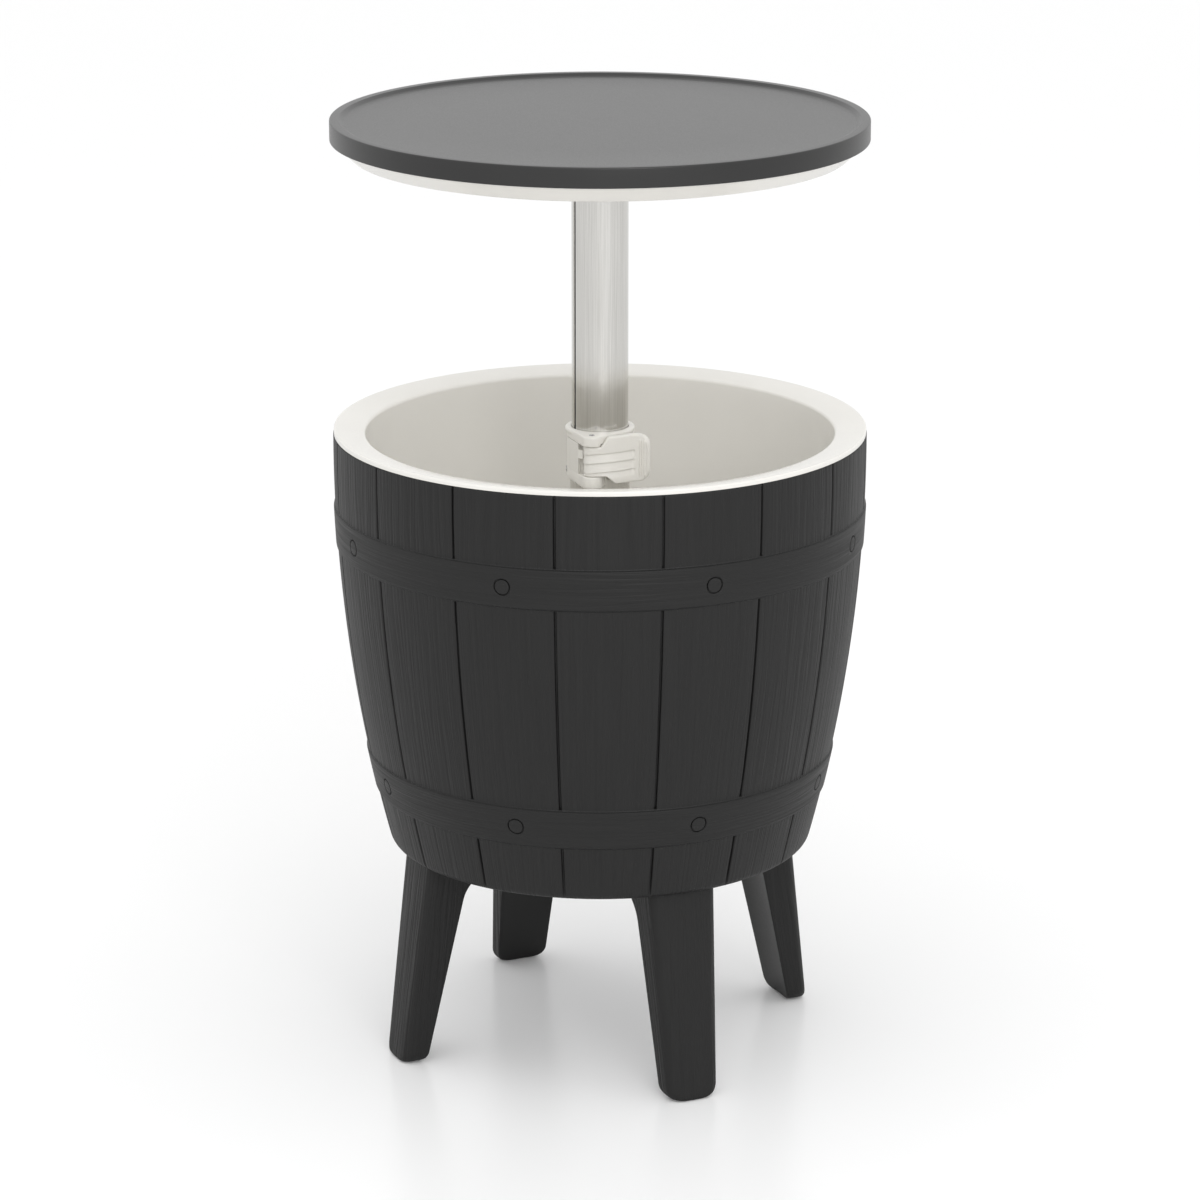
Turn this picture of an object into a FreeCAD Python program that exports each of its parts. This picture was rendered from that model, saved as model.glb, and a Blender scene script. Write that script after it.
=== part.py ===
"""Patio cooler with a table lid on a sliding mast.

Millimetres, +Z up. The origin is on the floor, under the middle of the barrel. The front is
towards -Y. The lid is raised, as it stands in use, with the lever of the mast's clamp shut.
"""
import FreeCAD, Part
import math
import os
import re

import Sketcher

SIZES = {
    # barrel
    "barrel_base": 177.4,
    "barrel_top": 532.4,
    "belly_radius": 222.8,
    "belly_height": 519.4,
    "belly_curve": 1330.0,
    "base_corner": 8.5,
    "shell_wall": 3.0,
    "fit_gap": 0.3,
    "thread_gap": 0.05,
    # staves, bands and rivet heads moulded into the shell
    "stave_count": 16,
    "stave_groove_width": 2.4,
    "stave_groove_depth": 1.6,
    "band_tall": 36.0,
    "band_proud": 1.3,
    "band_edge": 1.0,
    "upper_band": 454.2,
    "lower_band": 244.0,
    "rivet_count": 8,
    "rivet_radius": 6.0,
    "rivet_ring": 1.2,
    "rivet_depth": 0.9,
    # inner tank
    "tank_inset": 27.0,
    "tank_floor": 201.4,
    "tank_wall": 3.0,
    "tank_corner": 20.0,
    "rim_reveal": 0.5,
    "rim_thick": 4.2,
    "rim_fall": 4.4,
    "rim_edge": 1.2,
    "rim_bead": 2.6,
    "rim_spigot": 3.6,
    # legs
    "leg_turn": 45.0,
    "leg_top_radius": 168.5,
    "leg_foot_radius": 190.5,
    "leg_top_thick": 30.5,
    "leg_foot_thick": 17.5,
    "leg_top_half": 28.0,
    "leg_foot_half": 22.2,
    "leg_flare": 9.0,
    "leg_shoulder": 3.2,
    "leg_foot_round": 11.0,
    "leg_edge": 2.5,
    "leg_tab_thick": 6.0,
    "leg_tab_half": 24.0,
    "leg_screw_radius": 124.0,
    "leg_screw_angle": 6.5,
    "leg_screw_margin": 11.0,
    # screws
    "screw_radius": 2.1,
    "screw_head_radius": 4.4,
    "screw_head_tall": 2.6,
    "screw_hole_radius": 2.6,
    "screw_bite": 12.0,
    "boss_radius": 6.5,
    "boss_end": 2.0,
    # drain
    "drain_offset": 112.0,
    "drain_radius": 12.0,
    "drain_wall": 3.0,
    "plug_head_radius": 21.0,
    "plug_head_tall": 4.0,
    "plug_grip_tall": 9.0,
    "plug_grip_thick": 7.0,
    "gasket_thick": 2.0,
    # column
    "mast_radius": 23.6,
    "mast_wall": 1.5,
    "mast_foot": 441.4,
    "key_turn": -42.4,
    "key_width": 3.7,
    "key_depth": 0.9,
    "tube_gap": 0.35,
    "tube_wall": 1.1,
    "socket_radius": 48.0,
    "socket_flange": 5.0,
    "socket_base": 2.0,
    "socket_hub_tall": 32.0,
    "socket_hub_wall": 5.0,
    "socket_rib": 4.0,
    "socket_screw_radius": 39.0,
    "glide_flange": 3.0,
    "glide_plug": 20.0,
    # clamp
    "clamp_turn": 9.6,
    "clamp_middle": 512.9,
    "collar_radius": 27.6,
    "collar_half": 22.5,
    "collar_lip": 1.5,
    "collar_lip_tall": 4.0,
    "collar_cap": 4.5,
    "pin_radius": 2.5,
    "pin_reach": 35.6,
    "nose_radius": 8.5,
    "knuckle_radius": 7.0,
    "cam_throw": 0.4,
    "knuckle_half": 12.7,
    "slot_lift": 0.9,
    "slot_left": 11.5,
    "slot_tab_base": 0.5,
    "slot_tab_tall": 7.4,
    "lever_half": 20.3,
    "lever_lift": 1.8,
    "lever_curve": 42.0,
    "lever_centre": -1.2,
    "lever_thick": 5.5,
    "lever_bend": 30.0,
    "lever_flare": 13.1,
    "lever_end": 46.8,
    "lever_bevel": 1.3,
    "lever_corner": 8.0,
    "upper_neck": 9.3,
    "upper_shoulder": 15.6,
    "lower_neck": 14.6,
    "lower_shoulder": 21.5,
    "slat_step": 8.05,
    "slat_lift": -0.7,
    "slat_depth": 1.1,
    "slat_tall": 1.6,
    "slat_start": 2.0,
    "slat_end": 29.5,
    "grip_count": 4,
    "grip_radius": 0.7,
    "grip_step": 2.2,
    "pad_half_width": 7.8,
    "pad_half_tall": 11.5,
    "rivet_pin_radius": 1.8,
    "rivet_head_radius": 3.2,
    "rivet_head_tall": 0.9,
    "collar_rivet_drop": 16.0,
    # lid
    "lid_base": 779.1,
    "table_radius": 222.0,
    "table_tall": 16.6,
    "table_skin": 3.5,
    "table_recess": 2.5,
    "table_lip": 7.6,
    "table_lip_slope": 3.8,
    "table_edge": 1.0,
    "table_skirt": 4.5,
    "under_skin": 2.5,
    "under_lip": 1.5,
    "under_lip_radius": 218.4,
    "under_seat": 13.4,
    "under_seat_radius": 204.0,
    "under_seat_width": 9.0,
    "under_rib": 2.3,
    "under_rib_width": 5.0,
    "under_recess": 6.2,
    "hub_flange": 4.0,
    "hub_radius": 44.0,
    "hub_spigot": 32.0,
    "hub_spigot_wall": 4.0,
    "hub_screw_radius": 36.0,
    "hub_bite": 10.0,
    "lid_screw_radius": 170.0,
    "lid_screw_count": 8,
}

NAMED_SIZE = re.compile(r"\b(" + "|".join(sorted(SIZES, key=len, reverse=True)) + r")\b")
BEYOND = "600"
TOUCH = 0.05

document = FreeCAD.newDocument("CoolerTable")
sheet = document.addObject("Spreadsheet::Sheet", "Sizes")
for row, (alias, value) in enumerate(SIZES.items(), start=1):
    sheet.set(f"A{row}", alias)
    sheet.set(f"B{row}", str(value))
    sheet.setAlias(f"B{row}", alias)
document.recompute()

parts = []


def tied(text):
    """An expression that reads each named size from the sheet."""
    return NAMED_SIZE.sub(r"Sizes.\1", str(text))


def number(text):
    """The value of an expression over the named sizes."""
    return float(sheet.evalExpression(str(text)))


def bind(thing, prop, text):
    """Tie a property to an expression over the named sizes."""
    thing.setExpression(prop, tied(text))


def belly(height, inset="0"):
    """Radius of the barrel's curve at a height, on the curve set in by an inset."""
    return (
        f"(belly_radius - belly_curve + sqrt((belly_curve - ({inset}))^2"
        f" - (({height}) - belly_height)^2))"
    )


def new_body(name, turn=None, place=("0", "0", "0")):
    """A body that becomes one node, turned about the upright axis or moved where it says so."""
    body = document.addObject("PartDesign::Body", name)
    body.Label = name
    body.AllowCompound = True
    if turn is not None:
        body.Placement = FreeCAD.Placement(
            FreeCAD.Vector(0, 0, 0), FreeCAD.Rotation(FreeCAD.Vector(0, 0, 1), number(turn))
        )
        bind(body, "Placement.Rotation.Angle", turn)
    for letter, value in zip("xyz", place):
        if value != "0":
            bind(body, f"Placement.Base.{letter}", value)
    parts.append(body)
    return body


def origin_part(body, role):
    """One of the body's own origin planes or axes."""
    for feature in body.Origin.OriginFeatures:
        if feature.Role == role:
            return feature
    raise ValueError(role)


def new_sketch(body, name, plane, offset=("0", "0", "0"), turn_axis=None, turn="0"):
    """A sketch on an origin plane, moved and turned in that plane's own axes."""
    sketch = body.newObject("Sketcher::SketchObject", name)
    sketch.AttachmentSupport = (origin_part(body, plane), [""])
    sketch.MapMode = "FlatFace"
    rotation = FreeCAD.Rotation()
    if turn_axis is not None:
        rotation = FreeCAD.Rotation(FreeCAD.Vector(*turn_axis), number(turn))
    base = FreeCAD.Vector(*[number(value) for value in offset])
    sketch.AttachmentOffset = FreeCAD.Placement(base, rotation)
    for letter, value in zip("xyz", offset):
        if value != "0":
            bind(sketch, f"AttachmentOffset.Base.{letter}", value)
    if turn_axis is not None:
        bind(sketch, "AttachmentOffset.Rotation.Angle", turn)
    return sketch


def hold(sketch, kind, *where, size):
    """A constraint whose value follows an expression."""
    index = sketch.addConstraint(Sketcher.Constraint(kind, *where, number(size)))
    bind(sketch, f"Constraints[{index}]", size)


def add_loop(sketch, corners, arcs=None):
    """A closed outline through corners, with arcs {edge: (radius, centre side)}.

    The centre side is +1 where the arc's centre lies left of the way along the edge.
    """
    arcs = arcs or {}
    points = [FreeCAD.Vector(number(x), number(y), 0) for x, y in corners]
    starts, ends = [], []
    for index, start in enumerate(points):
        end = points[(index + 1) % len(points)]
        if index not in arcs:
            edge = sketch.addGeometry(Part.LineSegment(start, end), False)
            starts.append((edge, 1))
            ends.append((edge, 2))
            continue
        radius_text, side = arcs[index]
        radius = number(radius_text)
        chord = end - start
        left = FreeCAD.Vector(-chord.y, chord.x, 0).normalize()
        reach = math.sqrt(max(radius**2 - (chord.Length / 2) ** 2, 0))
        centre = (start + end) * 0.5 + left * (reach * side)
        first, last = (start, end) if side > 0 else (end, start)
        angles = [math.atan2(p.y - centre.y, p.x - centre.x) for p in (first, last)]
        circle = Part.Circle(centre, FreeCAD.Vector(0, 0, 1), radius)
        edge = sketch.addGeometry(Part.ArcOfCircle(circle, *angles), False)
        starts.append((edge, 1 if side > 0 else 2))
        ends.append((edge, 2 if side > 0 else 1))
    for index in range(len(points)):
        sketch.addConstraint(Sketcher.Constraint("Coincident", *ends[index - 1], *starts[index]))
        hold(sketch, "DistanceX", -1, 1, *starts[index], size=corners[index][0])
        hold(sketch, "DistanceY", -1, 1, *starts[index], size=corners[index][1])
    for index, (radius_text, _) in arcs.items():
        hold(sketch, "Radius", starts[index][0], size=radius_text)


def add_circle(sketch, x, y, radius):
    """A circle at a place in the sketch."""
    centre = FreeCAD.Vector(number(x), number(y), 0)
    circle = Part.Circle(centre, FreeCAD.Vector(0, 0, 1), number(radius))
    edge = sketch.addGeometry(circle, False)
    hold(sketch, "DistanceX", -1, 1, edge, 3, size=x)
    hold(sketch, "DistanceY", -1, 1, edge, 3, size=y)
    hold(sketch, "Radius", edge, size=radius)


def add_box(sketch, low_x, low_y, high_x, high_y):
    """A rectangle between two corners of the sketch."""
    add_loop(sketch, [(low_x, low_y), (high_x, low_y), (high_x, high_y), (low_x, high_y)])


def feature(body, kind, name, sketch, **values):
    """A sketch-based feature, with sizes given as text tied to the sheet."""
    made = body.newObject(f"PartDesign::{kind}", name)
    made.Profile = (sketch, [""])
    sketch.Visibility = False
    for prop, value in values.items():
        if prop in ("Length", "Length2", "Angle") and isinstance(value, str):
            setattr(made, prop, number(value))
            bind(made, prop, value)
        else:
            setattr(made, prop, value)
    document.recompute()
    return made


def revolve(body, name, sketch, axis="V_Axis", kind="Revolution", **values):
    """A full turn, or the part turn that is given, of a sketch about one of its own axes."""
    return feature(
        body, kind, name, sketch, ReferenceAxis=(sketch, [axis]), **{"Angle": 360.0, **values}
    )


def turned(body, name, corners, arcs=None, **values):
    """A body turned from an outline of radius and height about the upright axis."""
    sketch = new_sketch(body, f"{name}_section", "XZ_Plane")
    add_loop(sketch, corners, arcs)
    return revolve(body, name, sketch, **values)


def ring_pattern(body, name, originals, count):
    """Copies of features, evenly spaced about the body's upright axis."""
    pattern = body.newObject("PartDesign::PolarPattern", name)
    pattern.Originals = originals
    pattern.Axis = (origin_part(body, "Z_Axis"), [""])
    pattern.Angle = 360.0
    pattern.Occurrences = int(number(count))
    if str(count) in SIZES:
        bind(pattern, "Occurrences", count)
    body.Tip = pattern
    document.recompute()
    return pattern


def edge_names(shape, test):
    """Names of the edges whose sampled points all pass a test."""
    found = []
    for index, edge in enumerate(shape.Edges, start=1):
        samples = edge.discretize(5)
        if all(test(point) for point in samples):
            found.append(f"Edge{index}")
    return found


def soften(body, name, kind, size, test):
    """A fillet or chamfer on the edges that pass a test."""
    base = body.Tip
    names = edge_names(base.Shape, test)
    if not names:
        raise ValueError(f"{body.Label} {name}: no edge found")
    made = body.newObject(f"PartDesign::{kind}", name)
    made.Base = (base, names)
    prop = "Radius" if kind == "Fillet" else "Size"
    setattr(made, prop, number(size))
    bind(made, prop, size)
    document.recompute()
    return made


def ring_at(radius, height):
    """A test for the circle at a radius and height about the axis."""
    ring_radius = number(radius)
    ring_height = number(height)
    return lambda point: (
        abs(math.hypot(point.x, point.y) - ring_radius) < TOUCH
        and abs(point.z - ring_height) < TOUCH
    )


def upright_at(x, z):
    """A test for the two edges that run through a piece at a place of its front outline."""
    place_x = number(x)
    place_z = number(z)
    return lambda point: abs(abs(point.x) - place_x) < TOUCH and abs(point.z - place_z) < TOUCH


# Heights and radii that several pieces share.
RIM_UNDER = "(barrel_top - rim_spigot)"
RIM_TOP = "(barrel_top + rim_thick)"
RIM_RADIUS = "(belly_radius - rim_reveal)"
RIM_INNER = "(barrel_top + rim_thick - rim_fall)"
FLOOR_UNDER = "(tank_floor - tank_wall)"
SHELL_FLOOR = "(barrel_base + shell_wall)"
PILOT_RADIUS = "(screw_radius + thread_gap)"
BOSS_TALL = "(screw_bite + boss_end)"
TUBE_BORE = "(mast_radius + tube_gap)"
TUBE_RADIUS = "(mast_radius + tube_gap + tube_wall)"
COLLAR_BASE = "(clamp_middle - collar_half)"
COLLAR_TOP = "(clamp_middle + collar_half)"
CAM_FACE = "(pin_reach - knuckle_radius - cam_throw - fit_gap)"
BEND_REACH = "(lever_bend - lever_centre)"
FLARE_X = f"(lever_centre + (lever_curve + lever_flare) * {BEND_REACH} / lever_curve)"
FLARE_DROP = f"sqrt(lever_curve^2 - {BEND_REACH}^2)"
FLARE_Y = f"(0 - (lever_curve + lever_flare) * {FLARE_DROP} / lever_curve)"
SOCKET_FLOOR = "(tank_floor + socket_base)"
UNDER_PLANE = "(lid_base - under_recess)"
UNDER_INSIDE = "(lid_base - under_recess + under_skin)"
HUB_BASE = "(lid_base - under_recess - hub_flange)"
TABLE_TOP = "(lid_base + table_tall)"
TABLE_FACE = "(lid_base + table_tall - table_recess)"
TABLE_INSIDE = "(lid_base + table_tall - table_recess - table_skin)"


def outer_shell():
    """Barrel shell: a curved wall and floor, stave grooves, bands, rivet heads and bosses."""
    body = new_body("outer_shell")
    turned(
        body,
        "wall",
        [
            ("0", "barrel_base"),
            (belly("barrel_base"), "barrel_base"),
            (belly("barrel_top"), "barrel_top"),
            (belly("barrel_top", "shell_wall"), "barrel_top"),
            (belly(SHELL_FLOOR, "shell_wall"), SHELL_FLOOR),
            ("0", SHELL_FLOOR),
        ],
        {1: ("belly_curve", 1), 3: ("belly_curve - shell_wall", -1)},
    )
    soften(
        body, "inner_corner", "Fillet", "base_corner - shell_wall",
        ring_at(belly(SHELL_FLOOR, "shell_wall"), SHELL_FLOOR),
    )
    soften(
        body, "outer_corner", "Fillet", "base_corner",
        ring_at(belly("barrel_base"), "barrel_base"),
    )
    leg_bosses(body)
    hole = new_sketch(body, "drain_hole_plan", "XY_Plane", ("0", "0", "barrel_base"))
    add_circle(hole, "0", "drain_offset", "drain_radius + drain_wall + fit_gap")
    feature(body, "Pocket", "drain_hole", hole, Length="shell_wall", Reversed=True)
    bands(body)
    stave_grooves(body)


def stave_grooves(body):
    """Grooves between the staves, broken by the bands, that run round the bottom corner."""
    groove = new_sketch(
        body, "stave_groove_side", "XZ_Plane", turn_axis=(0, 1, 0), turn="180 / stave_count"
    )
    bottom = f"({belly('barrel_base')} - base_corner)"
    turn_height = "(barrel_base + base_corner)"
    stretches = [
        ("(lower_band + band_tall / 2)", "(upper_band - band_tall / 2)"),
        ("(upper_band + band_tall / 2)", "(barrel_top + stave_groove_depth)"),
    ]
    outside = "(belly_radius + base_corner)"
    sunk_curve = ("belly_curve - stave_groove_depth", -1)
    for low, high in stretches:
        corners = [
            (belly(high, "stave_groove_depth"), high),
            (belly(low, "stave_groove_depth"), low),
            (outside, low),
            (outside, high),
        ]
        add_loop(groove, corners, {0: sunk_curve})
    low_band = "(lower_band - band_tall / 2)"
    corners = [
        (belly(low_band, "stave_groove_depth"), low_band),
        (belly(turn_height, "stave_groove_depth"), turn_height),
        (bottom, "barrel_base + stave_groove_depth / 2"),
        (bottom, "barrel_base - stave_groove_depth"),
        (outside, "barrel_base - stave_groove_depth"),
        (outside, low_band),
    ]
    add_loop(groove, corners, {0: sunk_curve, 1: ("base_corner", -1)})
    cut = feature(
        body, "Pocket", "stave_groove", groove, Length="stave_groove_width", Midplane=True
    )
    ring_pattern(body, "stave_grooves", [cut], "stave_count")


def bands(body):
    """Two raised bands, each with a ring of rivet heads outlined by a sunk ring."""
    sections = new_sketch(body, "band_section", "XZ_Plane")
    for middle in ("upper_band", "lower_band"):
        low = f"({middle} - band_tall / 2)"
        high = f"({middle} + band_tall / 2)"
        add_loop(
            sections,
            [
                (belly(low, "shell_wall / 2"), low),
                (belly(low, "0 - band_proud / 4"), low),
                (belly(f"{low} + band_edge", "0 - band_proud"), f"{low} + band_edge"),
                (belly(f"{high} - band_edge", "0 - band_proud"), f"{high} - band_edge"),
                (belly(high, "0 - band_proud / 4"), high),
                (belly(high, "shell_wall / 2"), high),
            ],
            {2: ("belly_curve + band_proud", 1)},
        )
    revolve(body, "bands", sections)
    cuts = []
    for name, middle in (("upper", "upper_band"), ("lower", "lower_band")):
        ring = new_sketch(
            body,
            f"{name}_rivet_ring",
            "XZ_Plane",
            ("0", middle, belly(middle, "rivet_depth - band_proud")),
            turn_axis=(1, 0, 0),
            turn=f"asin((belly_height - {middle}) / belly_curve)",
        )
        add_circle(ring, "0", "0", "rivet_radius")
        add_circle(ring, "0", "0", "rivet_radius + rivet_ring")
        cuts.append(
            feature(body, "Pocket", f"{name}_rivet", ring, Length="rivet_depth * 2", Reversed=True)
        )
    ring_pattern(body, "rivets", cuts, "rivet_count")


def leg_bosses(body):
    """Blind screw bosses on the shell's floor, two over each leg."""
    made = []
    for name, sign in (("left", "-"), ("right", "+")):
        turn = f"leg_turn {sign} leg_screw_angle"
        boss = new_sketch(
            body, f"{name}_boss_plan", "XY_Plane", ("0", "0", "barrel_base + shell_wall / 2"),
            turn_axis=(0, 0, 1), turn=turn,
        )
        add_circle(boss, "0", "0 - leg_screw_radius", "boss_radius")
        made.append(
            feature(body, "Pad", f"{name}_boss", boss, Length=f"{BOSS_TALL} - shell_wall / 2")
        )
        pilot = new_sketch(
            body, f"{name}_pilot_plan", "XY_Plane", ("0", "0", "barrel_base"),
            turn_axis=(0, 0, 1), turn=turn,
        )
        add_circle(pilot, "0", "0 - leg_screw_radius", PILOT_RADIUS)
        made.append(
            feature(
                body, "Pocket", f"{name}_pilot", pilot, Length="screw_bite + 1", Reversed=True
            )
        )
    ring_pattern(body, "leg_bosses", made, "4")


def tank_liner():
    """Inner tank in one piece with the broad rim, with bosses and the drain's spout below."""
    body = new_body("tank_liner")
    outer = "(tank_inset - tank_wall)"
    spigot = "shell_wall + fit_gap"
    bead_low = f"({RIM_INNER} - rim_bead)"
    turned(
        body,
        "tank",
        [
            ("0", FLOOR_UNDER),
            (belly(FLOOR_UNDER, outer), FLOOR_UNDER),
            (belly(RIM_UNDER, outer), RIM_UNDER),
            (belly(RIM_UNDER, spigot), RIM_UNDER),
            (belly("barrel_top", spigot), "barrel_top"),
            (RIM_RADIUS, "barrel_top"),
            (RIM_RADIUS, f"{RIM_TOP} - rim_edge"),
            (f"{RIM_RADIUS} - rim_edge", RIM_TOP),
            (f"{belly(bead_low, 'tank_inset')} + rim_bead", RIM_INNER),
            (belly(bead_low, "tank_inset"), bead_low),
            (belly("tank_floor", "tank_inset"), "tank_floor"),
            ("0", "tank_floor"),
        ],
        {
            1: (f"belly_curve - {outer}", 1),
            6: ("rim_edge", 1),
            8: ("rim_bead", 1),
            9: ("belly_curve - tank_inset", -1),
        },
    )
    soften(
        body, "floor_corner", "Fillet", "tank_corner",
        ring_at(belly("tank_floor", "tank_inset"), "tank_floor"),
    )
    soften(
        body, "under_corner", "Fillet", "tank_corner + tank_wall",
        ring_at(belly(FLOOR_UNDER, outer), FLOOR_UNDER),
    )
    boss = new_sketch(body, "boss_plan", "XY_Plane", ("0", "0", f"{FLOOR_UNDER} + tank_wall / 2"))
    add_circle(boss, "0", "0 - socket_screw_radius", "boss_radius")
    boss_pad = feature(
        body, "Pad", "boss", boss, Length=f"{BOSS_TALL} - tank_wall / 2", Reversed=True
    )
    pilot = new_sketch(body, "pilot_plan", "XY_Plane", ("0", "0", "tank_floor"))
    add_circle(pilot, "0", "0 - socket_screw_radius", PILOT_RADIUS)
    pilot_cut = feature(body, "Pocket", "pilot", pilot, Length="screw_bite + 1")
    ring_pattern(body, "bosses", [boss_pad, pilot_cut], "4")
    spout = new_sketch(body, "spout_plan", "XY_Plane", ("0", "0", "barrel_base"))
    add_circle(spout, "0", "drain_offset", "drain_radius + drain_wall")
    feature(
        body, "Pad", "spout", spout, Length=f"{FLOOR_UNDER} + tank_wall / 2 - barrel_base"
    )
    drain = new_sketch(body, "drain_plan", "XY_Plane", ("0", "0", "barrel_base"))
    add_circle(drain, "0", "drain_offset", "drain_radius")
    feature(
        body, "Pocket", "drain", drain, Length="tank_floor + 1 - barrel_base", Reversed=True
    )


def insulation_foam():
    """Foam that fills the space between shell and tank, clear of the bosses and the spout."""
    body = new_body("insulation_foam")
    outer = "(shell_wall + fit_gap)"
    inner = "(tank_inset - tank_wall - fit_gap)"
    bottom = f"({SHELL_FLOOR} + fit_gap)"
    top = f"({RIM_UNDER} - fit_gap)"
    under_tank = f"({FLOOR_UNDER} - fit_gap)"
    turned(
        body,
        "foam",
        [
            ("0", bottom),
            (belly(bottom, outer), bottom),
            (belly(top, outer), top),
            (belly(top, inner), top),
            (belly(under_tank, inner), under_tank),
            ("0", under_tank),
        ],
        {1: (f"belly_curve - {outer}", 1), 3: (f"belly_curve - {inner}", -1)},
    )
    soften(
        body, "outer_corner", "Fillet", "base_corner - shell_wall",
        ring_at(belly(bottom, outer), bottom),
    )
    soften(
        body, "inner_corner", "Fillet", "tank_corner + tank_wall",
        ring_at(belly(under_tank, inner), under_tank),
    )
    pockets = []
    for name, sign in (("left", "-"), ("right", "+")):
        plan = new_sketch(
            body, f"{name}_boss_pocket_plan", "XY_Plane", ("0", "0", "barrel_base"),
            turn_axis=(0, 0, 1), turn=f"leg_turn {sign} leg_screw_angle",
        )
        add_circle(plan, "0", "0 - leg_screw_radius", "boss_radius + fit_gap")
        pockets.append(
            feature(
                body, "Pocket", f"{name}_boss_pocket", plan, Reversed=True,
                Length=f"{BOSS_TALL} + fit_gap",
            )
        )
    plan = new_sketch(body, "socket_boss_pocket_plan", "XY_Plane", ("0", "0", FLOOR_UNDER))
    add_circle(plan, "0", "0 - socket_screw_radius", "boss_radius + fit_gap")
    pockets.append(
        feature(body, "Pocket", "socket_boss_pocket", plan, Length=f"{BOSS_TALL} + fit_gap")
    )
    ring_pattern(body, "boss_pockets", pockets, "4")
    plan = new_sketch(body, "spout_hole_plan", "XY_Plane", ("0", "0", "tank_floor"))
    add_circle(plan, "0", "drain_offset", "drain_radius + drain_wall + fit_gap")
    feature(body, "Pocket", "spout_hole", plan, Length="tank_floor - barrel_base")


def leg(name, quarter):
    """One splayed leg: a curved slab, thicker at its top, with flared shoulders and a tab."""
    body = new_body(name, turn=f"leg_turn + {quarter * 90}")
    side = new_sketch(body, "leg_side", "YZ_Plane")
    add_loop(
        side,
        [
            ("0 - leg_foot_radius", "0"),
            ("leg_foot_thick - leg_foot_radius", "0"),
            ("leg_top_thick - leg_top_radius", "barrel_base"),
            ("0 - leg_top_radius", "barrel_base"),
        ],
    )
    revolve(body, "slab", side, Angle="40", Midplane=True)
    shoulder = "(barrel_base - leg_shoulder)"
    front = new_sketch(body, "leg_front", "XZ_Plane")
    add_box(front, f"0 - {BEYOND}", f"0 - {BEYOND}", BEYOND, BEYOND)
    add_loop(
        front,
        [
            ("0 - leg_top_half - leg_flare", "barrel_base"),
            ("0 - leg_top_half - leg_flare", shoulder),
            ("0 - leg_top_half", shoulder),
            ("0 - leg_foot_half", "0"),
            ("leg_foot_half", "0"),
            ("leg_top_half", shoulder),
            ("leg_top_half + leg_flare", shoulder),
            ("leg_top_half + leg_flare", "barrel_base"),
        ],
    )
    feature(body, "Pocket", "leg_outline", front, Type="ThroughAll", Midplane=True)
    soften(body, "foot_corners", "Fillet", "leg_foot_round", upright_at("leg_foot_half", "0"))
    soften(
        body, "flares", "Fillet", "leg_flare - leg_edge / 2", upright_at("leg_top_half", shoulder)
    )
    base_height = number("barrel_base")
    ledge_height = number(shoulder)
    foot_radius = number("leg_foot_radius")
    splay = number("(leg_foot_radius - leg_top_radius) / barrel_base")

    def on_outer_edge(point):
        """Whether a point lies on the outer face and no higher than the shoulder."""
        radius = foot_radius - splay * point.z
        on_face = abs(math.hypot(point.x, point.y) - radius) < TOUCH
        return on_face and point.z < ledge_height + TOUCH

    soften(body, "outer_edges", "Fillet", "leg_edge", on_outer_edge)
    tab = new_sketch(body, "tab_plan", "XY_Plane", ("0", "0", "barrel_base - leg_tab_thick"))
    tab_outside = "leg_foot_thick / 2 - leg_top_radius"
    tab_inside = "(leg_screw_margin - leg_screw_radius)"
    add_loop(
        tab,
        [
            ("0 - leg_tab_half", tab_outside),
            ("leg_tab_half", tab_outside),
            ("leg_tab_half", f"{tab_inside} - leg_screw_margin / 2"),
            ("leg_tab_half - leg_screw_margin / 2", tab_inside),
            ("leg_screw_margin / 2 - leg_tab_half", tab_inside),
            ("0 - leg_tab_half", f"{tab_inside} - leg_screw_margin / 2"),
        ],
        {2: ("leg_screw_margin / 2", 1), 4: ("leg_screw_margin / 2", 1)},
    )
    feature(body, "Pad", "tab", tab, Length="leg_tab_thick")
    holes = new_sketch(body, "tab_holes_plan", "XY_Plane", ("0", "0", "barrel_base"))
    for sign in ("-", "+"):
        add_circle(
            holes,
            f"0 {sign} leg_screw_radius * sin(leg_screw_angle)",
            "0 - leg_screw_radius * cos(leg_screw_angle)",
            "screw_hole_radius",
        )
    feature(body, "Pocket", "tab_holes", holes, Length="leg_tab_thick")


def screw_group(name, seat, rising, radius, turns, count, bite, sunk=False):
    """Identical screws about the barrel's axis, with their heads on a seat height.

    rising screws are driven upwards. A turn is counted from the front, towards +X.
    """
    body = new_body(name)
    into = "+" if rising else "-"
    away = "-" if rising else "+"
    made = []
    for index, turn in enumerate(turns):
        place = (f"{radius} * sin({turn})", seat, f"{radius} * cos({turn})")
        section = new_sketch(body, f"section_{index}", "XZ_Plane", place)
        if sunk:
            corners = [
                ("0", "0"),
                ("screw_head_radius", "0"),
                ("screw_radius", f"0 {into} screw_head_tall"),
                ("screw_radius", f"0 {into} ({bite} - screw_radius)"),
                ("0", f"0 {into} ({bite})"),
            ]
        else:
            corners = [
                ("0", f"0 {away} screw_head_tall"),
                ("screw_head_radius / 2", f"0 {away} screw_head_tall"),
                ("screw_head_radius", f"0 {away} screw_head_tall / 2"),
                ("screw_head_radius", "0"),
                ("screw_radius", "0"),
                ("screw_radius", f"0 {into} ({bite} - screw_radius)"),
                ("0", f"0 {into} ({bite})"),
            ]
        add_loop(section, corners)
        made.append(revolve(body, f"screw_{index}", section))
    ring_pattern(body, "screws", made, count)


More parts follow.
